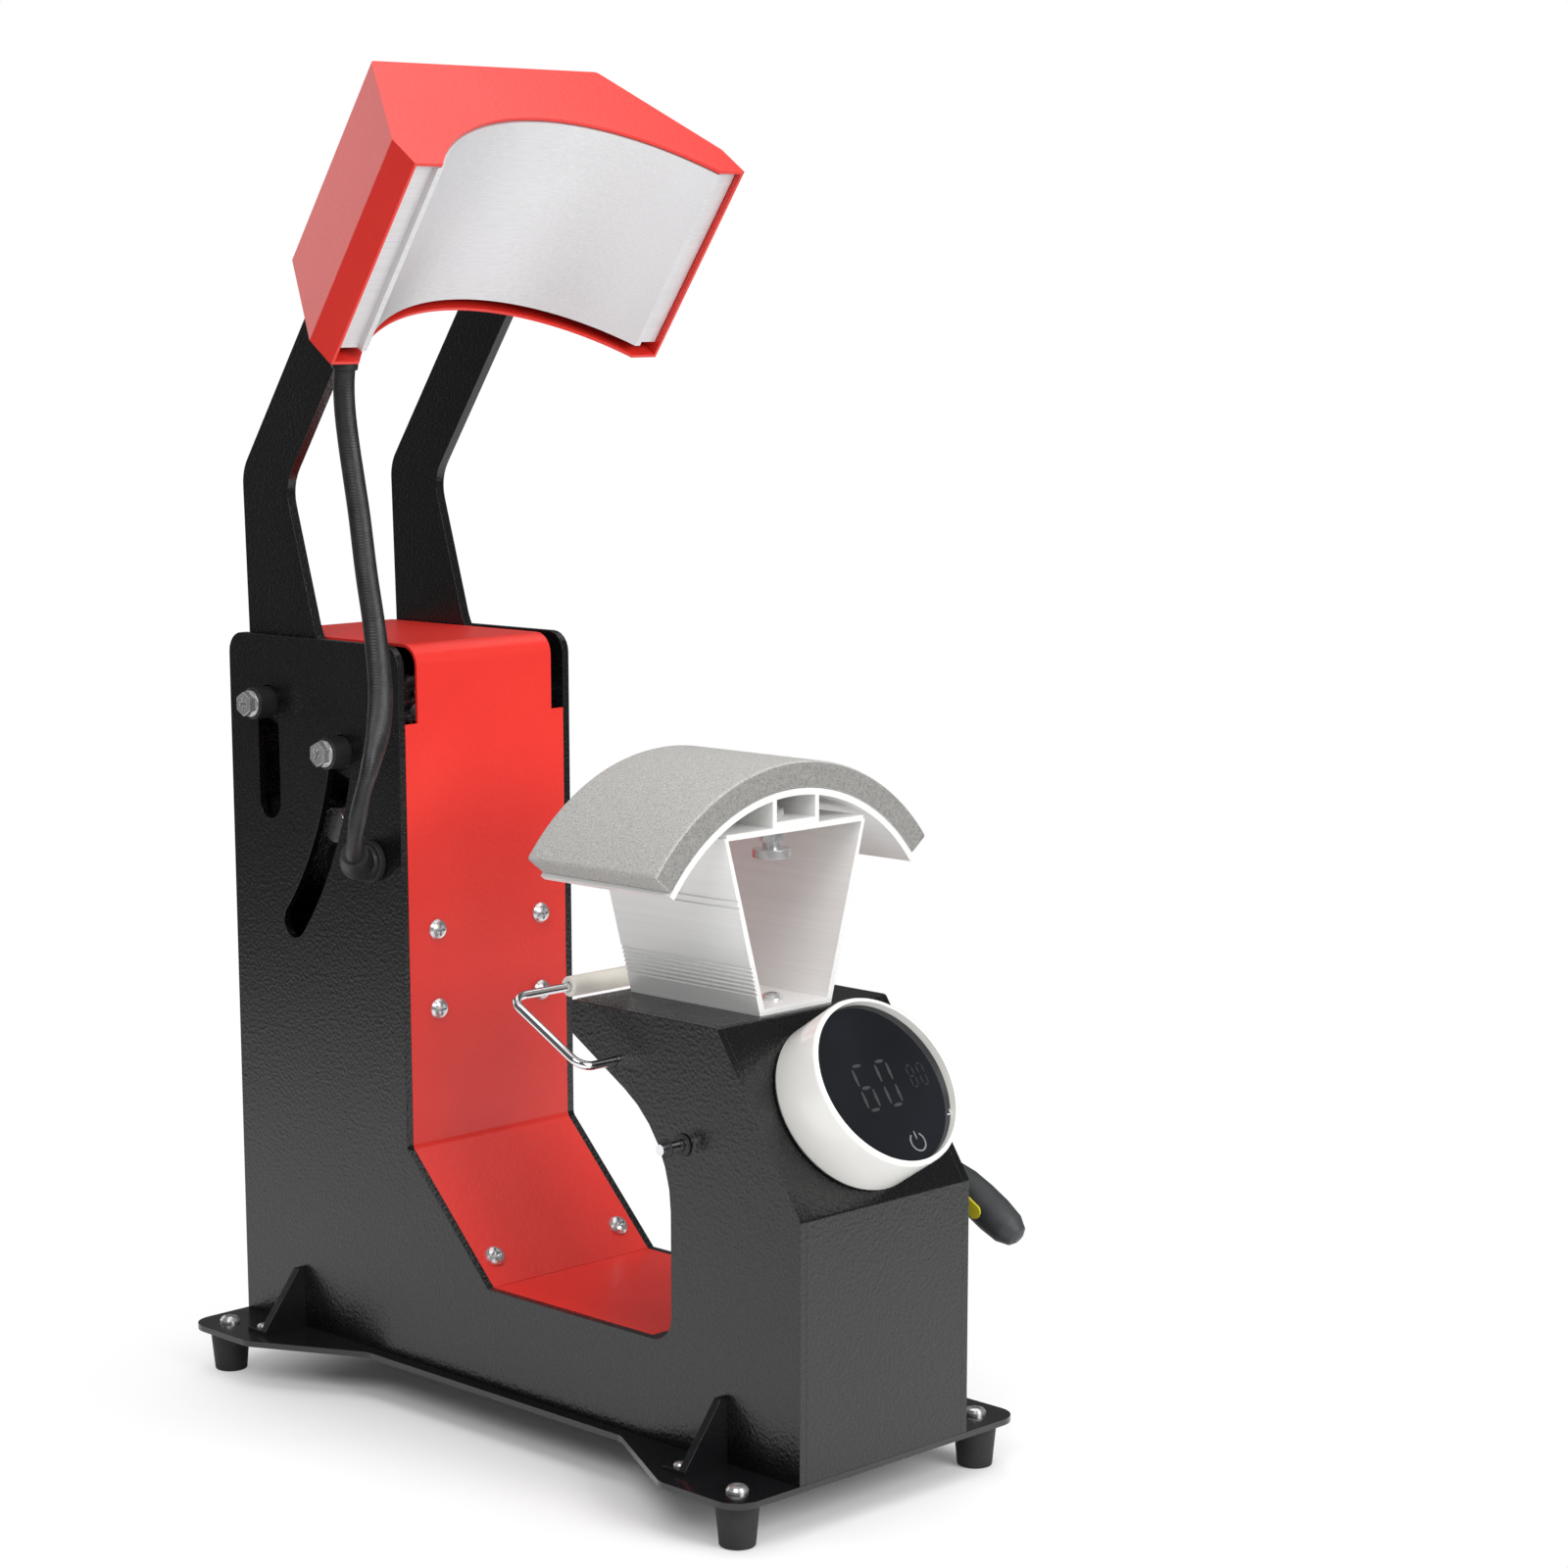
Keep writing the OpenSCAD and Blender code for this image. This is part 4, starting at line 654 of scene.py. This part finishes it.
# Edges longer than this are cut
PAD_LONG = 40 * MM
PAD_CUTS = 12


def foam_pad():
    """The pad's cross cut, spun about the centre of its curve and rounded."""
    bm = bmesh.new()
    centre = Vector((0, (PAD_LOW.y + PAD_HIGH.y) / 2, ARC_Z))
    first = Matrix.Rotation(-(math.pi / 2 - PAD_HALF), 4, "Y")
    out = Matrix.Translation((PAD_R - PAD_T / 2, 0, 0))
    size = Matrix.Diagonal((PAD_T, PAD_HIGH.y - PAD_LOW.y, 1, 1))
    bmesh.ops.create_grid(bm, x_segments=1, y_segments=1, size=0.5,
                          matrix=Matrix.Translation(centre) @ first @ out @ size)
    bmesh.ops.spin(bm, geom=bm.verts[:] + bm.edges[:] + bm.faces[:], cent=centre,
                   axis=(0, 1, 0), angle=-2 * PAD_HALF, steps=PAD_STEPS, use_duplicate=False)
    bmesh.ops.holes_fill(bm, edges=bm.edges, sides=0)
    outward(bm)
    round_edges(bm, PAD_EDGE, 3, 50)
    bmesh.ops.subdivide_edges(bm, edges=[e for e in bm.edges if e.calc_length() > PAD_LONG],
                              cuts=PAD_CUTS, use_grid_fill=True)
    return flat_shaded(finished(bm, "foam_pad_cut", 50))


pad = paint(foam_pad(), FINISHES["silicone"])
# The pad's two end faces get a darker copy of the same foam: painted shade on the ends
pad.data.materials.append(FOAM_SHADED_END)
for face in pad.data.polygons:
    face.material_index = int(abs(face.normal.y) > 0.9)
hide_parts("foam_pad")
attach(pad, "body")


# Springs

SPRING_D = 11 * MM
SPRING_WIRE = 1.6 * MM
SPRING_CURLS = 26
SPRING_STEPS = 18
SPRING_TAIL = 5 * MM
TAIL_R = SPRING_WIRE * 0.9


def spring(name, node):
    """A wound spring along Y, with a straight tail at each end."""
    low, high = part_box(node)
    x, z = (low.x + high.x) / 2, (low.z + high.z) / 2
    radius = (SPRING_D - SPRING_WIRE) / 2
    start = low.y + SPRING_TAIL
    wound = high.y - low.y - 2 * SPRING_TAIL
    bm = bmesh.new()
    ring = Matrix.Translation((x + radius, start, z))
    bmesh.ops.create_circle(bm, cap_ends=False, segments=8, radius=SPRING_WIRE / 2, matrix=ring)
    steps = SPRING_CURLS * SPRING_STEPS
    bmesh.ops.spin(bm, geom=bm.verts[:] + bm.edges[:], cent=(x, start, z), axis=(0, 1, 0),
                   dvec=(0, wound / steps, 0), angle=math.tau * SPRING_CURLS, steps=steps)
    for y, end in ((low.y, start), (high.y - SPRING_TAIL, high.y)):
        tail = Matrix.Translation((x, (y + end) / 2, z)) @ Matrix.Rotation(math.pi / 2, 4, "X")
        bmesh.ops.create_cone(bm, cap_ends=True, segments=12, radius1=TAIL_R, radius2=TAIL_R,
                              depth=SPRING_TAIL, matrix=tail)
    bmesh.ops.holes_fill(bm, edges=open_edges(bm), sides=0)
    outward(bm)
    piece = paint(finished(bm, name, 50), FINISHES["spring_steel"])
    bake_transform(piece)
    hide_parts(node)


spring("left_spring_wound", "left_spring")
spring("right_spring_wound", "right_spring")


# Marks on the round control's glass

# Rise and run of the panel's slope, in millimetres
SLOPE_RISE = 77
SLOPE_RUN = 50.5
SLOPE_TURN = math.atan2(SLOPE_RISE, SLOPE_RUN)
GLASS_LOW, GLASS_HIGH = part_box("dial_glass")
GLASS_T = 2.2 * MM
MARK_T = 0.12 * MM
# The glass's face, with X to the right and Y up the slope
FACE = (Matrix.Translation((GLASS_LOW + GLASS_HIGH) / 2) @ Matrix.Rotation(SLOPE_TURN, 4, "X")
        @ Matrix.Translation((0, 0, GLASS_T / 2)))
# Bars of a digit: their place in half widths and half heights, and whether they stand
SEGMENTS = {"a": (0, 1, False), "g": (0, 0, False), "d": (0, -1, False),
            "f": (-1, 0.5, True), "b": (1, 0.5, True), "e": (-1, -0.5, True), "c": (1, -0.5, True)}
SIX, ZERO, EIGHT = "afgedc", "abcdef", "abcdefg"
# How much shorter a bar is than its place, in widths of the bar
BAR_GAP = 0.8


def add_segment(bm, x, y, length, width, upright):
    """A flat bar with pointed ends."""
    turn = Matrix.Rotation(math.pi / 2, 4, "Z") if upright else Matrix.Identity(4)
    shape = Matrix.Diagonal((length / 2, width / 2 / math.sin(math.pi / 3), 1, 1))
    made = bmesh.ops.create_circle(bm, cap_ends=True, segments=6, radius=1,
                                   matrix=FACE @ Matrix.Translation((x, y, 0)) @ turn @ shape)
    lifted = bmesh.ops.extrude_face_region(bm, geom=faces_of(made["verts"]))["geom"]
    verts = [v for v in lifted if isinstance(v, bmesh.types.BMVert)]
    bmesh.ops.translate(bm, verts=verts, vec=FACE.to_3x3() @ Vector((0, 0, MARK_T)))


def add_digit(bm, x, y, half_w, half_h, width, shown):
    """The shown bars of a digit."""
    for key in shown:
        sx, sy, upright = SEGMENTS[key]
        length = (half_h if upright else 2 * half_w) - width * BAR_GAP
        add_segment(bm, x + sx * half_w, y + sy * half_h, length, width, upright)


def add_arc(bm, x, y, radius, width, start, turn, steps=32):
    """A flat arc on the face, from one angle through another."""
    place = FACE @ Matrix.Translation((x, y, 0))
    strip = place @ Matrix.Rotation(start, 4, "Z") @ Matrix.Translation((radius, 0, MARK_T / 2))
    cut = strip @ Matrix.Rotation(math.pi / 2, 4, "X") @ Matrix.Diagonal((width, MARK_T, 1, 1))
    verts = bmesh.ops.create_grid(bm, x_segments=1, y_segments=1, size=0.5, matrix=cut)["verts"]
    bmesh.ops.spin(bm, geom=verts + edges_of(verts) + faces_of(verts), cent=place.translation,
                   axis=place.to_3x3() @ Vector((0, 0, 1)), angle=turn, steps=steps,
                   use_duplicate=False)


def mark(name, build, material):
    """A piece of marks on the glass."""
    bm = bmesh.new()
    build(bm)
    bmesh.ops.holes_fill(bm, edges=open_edges(bm), sides=0)
    bmesh.ops.recalc_face_normals(bm, faces=bm.faces)
    piece = paint(finished(bm, name), material)
    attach(piece, "body")


def large_digits(bm):
    for x, shown in ((-10.7 * MM, SIX), (3.5 * MM, ZERO)):
        add_digit(bm, x, -0.2 * MM, 3.5 * MM, 10.4 * MM, 1.5 * MM, shown)


def small_digits(bm):
    for x, shown in ((19 * MM, EIGHT), (25.5 * MM, ZERO)):
        add_digit(bm, x, 0.5 * MM, 1.7 * MM, 5 * MM, 0.8 * MM, shown)


def power_symbol(bm):
    """An open ring with an upright bar in its gap."""
    x, y, width = 5.5 * MM, -28.6 * MM, 0.75 * MM
    add_arc(bm, x, y, 4.2 * MM, width, math.radians(125), math.radians(290))
    add_segment(bm, x, y + 3.1 * MM, 4.4 * MM, width, True)


def corner_symbol(bm):
    """Two level bars with one that stands between them."""
    x, y, length, width = 32 * MM, -20 * MM, 2.6 * MM, 0.6 * MM
    for side in (-1, 1):
        add_segment(bm, x + side * length / 2, y, length, width, False)
    add_segment(bm, x, y + 1.2 * MM, length, width, True)


mark("large_digits", large_digits, printed("unlit_digits", (0.040, 0.040, 0.041)))
mark("small_digits", small_digits, printed("fainter_digits", (0.018, 0.018, 0.019)))
mark("power_symbol", power_symbol, printed("symbol_grey", (0.22, 0.22, 0.23)))
mark("corner_symbol", corner_symbol, printed("symbol_white", (0.62, 0.62, 0.62)))


# Blades in the mains inlet

# Places across and up from the inlet's middle, in millimetres
BLADES = ((-7, 1.5), (7, 1.5), (0, -2.5))
# Half a blade's thickness and height, and its reach from its root to its tip
BLADE_HALF_T = 0.9 * MM
BLADE_HALF_H = 2 * MM
BLADE_ROOT = 18 * MM
BLADE_TIP = 4 * MM
BLADE_EDGE = 0.35 * MM


def inlet_blades():
    """Three blades, measured from the inlet's rear face."""
    low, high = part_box("power_inlet")
    middle = (low.z + high.z) / 2
    bm = bmesh.new()
    for x, z in BLADES:
        x, z = x * MM, middle + z * MM
        add_block(bm, Vector((x - BLADE_HALF_T, high.y - BLADE_ROOT, z - BLADE_HALF_H)),
                  Vector((x + BLADE_HALF_T, high.y - BLADE_TIP, z + BLADE_HALF_H)))
    round_edges(bm, BLADE_EDGE)
    piece = flat_shaded(paint(finished(bm, "inlet_blades"), FINISHES["zinc"]))
    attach(piece, "body")


inlet_blades()


# Floor, light and background

FLOOR_HALF = 9.0
FLOOR_DROP = 0.2 * MM
FLOOR_TONE = 0.96
# Distances from the middle between which the floor runs out, to the eye and to other rays
SEEN_CLEAR = (0.14, 0.30)
TABLE_EDGE = (0.60, 1.60)
# Brightness beside and behind the table, as polished pieces mirror it
ROOM_GLOSS = 0.11
WORLD_LIGHT = 0.42
WORLD_COLOUR = (0.97, 0.98, 1.0, 1)
# Softboxes: place, what they aim at, width, height and power in watts
SOFTBOXES = {
    "front_softbox": ((0.1, -2.0, 1.1), (0.0, 0.0, 0.25), 1.3, 1.3, 32),
    "left_softbox": ((-1.7, -0.9, 1.8), (0.0, 0.0, 0.3), 1.3, 1.0, 20),
    "top_softbox": ((0.3, 0.1, 2.2), (0.0, 0.0, 0.2), 2.2, 2.4, 24),
    "rear_softbox": ((0.1, 2.6, 0.9), (0.0, 0.0, 0.3), 2.4, 1.8, 11),
}


def direct_rays(tree):
    """1 for what the camera sees, also through glass, and 0 for every other ray."""
    rays = tree.nodes.new("ShaderNodeLightPath")
    either = tree.nodes.new("ShaderNodeMath")
    either.operation = "MAXIMUM"
    tree.links.new(rays.outputs["Is Camera Ray"], either.inputs[0])
    tree.links.new(rays.outputs["Is Transmission Ray"], either.inputs[1])
    return either.outputs[0]


def fade_out(tree, distance, span):
    """A soft step from 0 to 1 over a span of distance."""
    fade = tree.nodes.new("ShaderNodeMapRange")
    fade.interpolation_type = "SMOOTHSTEP"
    fade.inputs["From Min"].default_value = span[0]
    fade.inputs["From Max"].default_value = span[1]
    tree.links.new(distance, fade.inputs["Value"])
    return fade.outputs["Result"]


def mix_shaders(tree, factor, first, second):
    """The first shader where the factor is 0, the second where it is 1."""
    mix = tree.nodes.new("ShaderNodeMixShader")
    tree.links.new(factor, mix.inputs["Fac"])
    tree.links.new(first, mix.inputs[1])
    tree.links.new(second, mix.inputs[2])
    return mix.outputs[0]


def glow(tree, kind, strength, colour=(1, 1, 1, 1)):
    """An even light of a surface or of the world."""
    node = tree.nodes.new(kind)
    node.inputs["Color"].default_value = colour
    node.inputs["Strength"].default_value = strength
    return node.outputs[0]


def make_floor():
    """A pale table that keeps the shadow and runs out into the white background."""
    bm = bmesh.new()
    bmesh.ops.create_grid(bm, x_segments=2, y_segments=2, size=FLOOR_HALF,
                          matrix=Matrix.Translation((0, 0, -FLOOR_DROP)))
    floor = finished(bm, "floor")
    material = bpy.data.materials.new("pale_floor")
    material.use_nodes = True
    tree = material.node_tree
    tree.nodes.clear()
    paper = tree.nodes.new("ShaderNodeBsdfDiffuse")
    paper.inputs["Color"].default_value = (FLOOR_TONE, FLOOR_TONE, FLOOR_TONE, 1)
    coords = tree.nodes.new("ShaderNodeTexCoord")
    reach = tree.nodes.new("ShaderNodeVectorMath")
    reach.operation = "LENGTH"
    tree.links.new(coords.outputs["Object"], reach.inputs[0])
    distance = reach.outputs["Value"]
    seen = mix_shaders(tree, fade_out(tree, distance, SEEN_CLEAR), paper.outputs[0],
                       glow(tree, "ShaderNodeEmission", 1))
    lit = mix_shaders(tree, fade_out(tree, distance, TABLE_EDGE), paper.outputs[0],
                      glow(tree, "ShaderNodeEmission", ROOM_GLOSS))
    out = tree.nodes.new("ShaderNodeOutputMaterial")
    tree.links.new(mix_shaders(tree, direct_rays(tree), lit, seen), out.inputs["Surface"])
    paint(floor, material)


def make_world():
    """White to the eye, soft light on every side, and a darker room in reflections."""
    world = bpy.data.worlds.new("studio")
    bpy.context.scene.world = world
    world.use_nodes = True
    tree = world.node_tree
    rays = tree.nodes.new("ShaderNodeLightPath")
    soft = glow(tree, "ShaderNodeBackground", WORLD_LIGHT, WORLD_COLOUR)
    room = glow(tree, "ShaderNodeBackground", ROOM_GLOSS)
    lit = mix_shaders(tree, rays.outputs["Is Glossy Ray"], soft, room)
    white = glow(tree, "ShaderNodeBackground", 1)
    tree.links.new(mix_shaders(tree, direct_rays(tree), lit, white),
                   tree.nodes["World Output"].inputs["Surface"])


def softbox(name, place, target, width, height, power):
    """A soft lamp that the camera doesn't see."""
    data = bpy.data.lights.new(name, "AREA")
    data.shape = "RECTANGLE"
    data.size = width
    data.size_y = height
    data.energy = power
    lamp = bpy.data.objects.new(name, data)
    lamp.visible_camera = False
    turn = (Vector(target) - Vector(place)).to_track_quat("-Z", "Y").to_matrix().to_4x4()
    lamp.matrix_world = Matrix.Translation(place) @ turn
    bpy.context.scene.collection.objects.link(lamp)


make_floor()
make_world()
for name, values in SOFTBOXES.items():
    softbox(name, *values)
bpy.context.scene.view_settings.view_transform = "Standard"
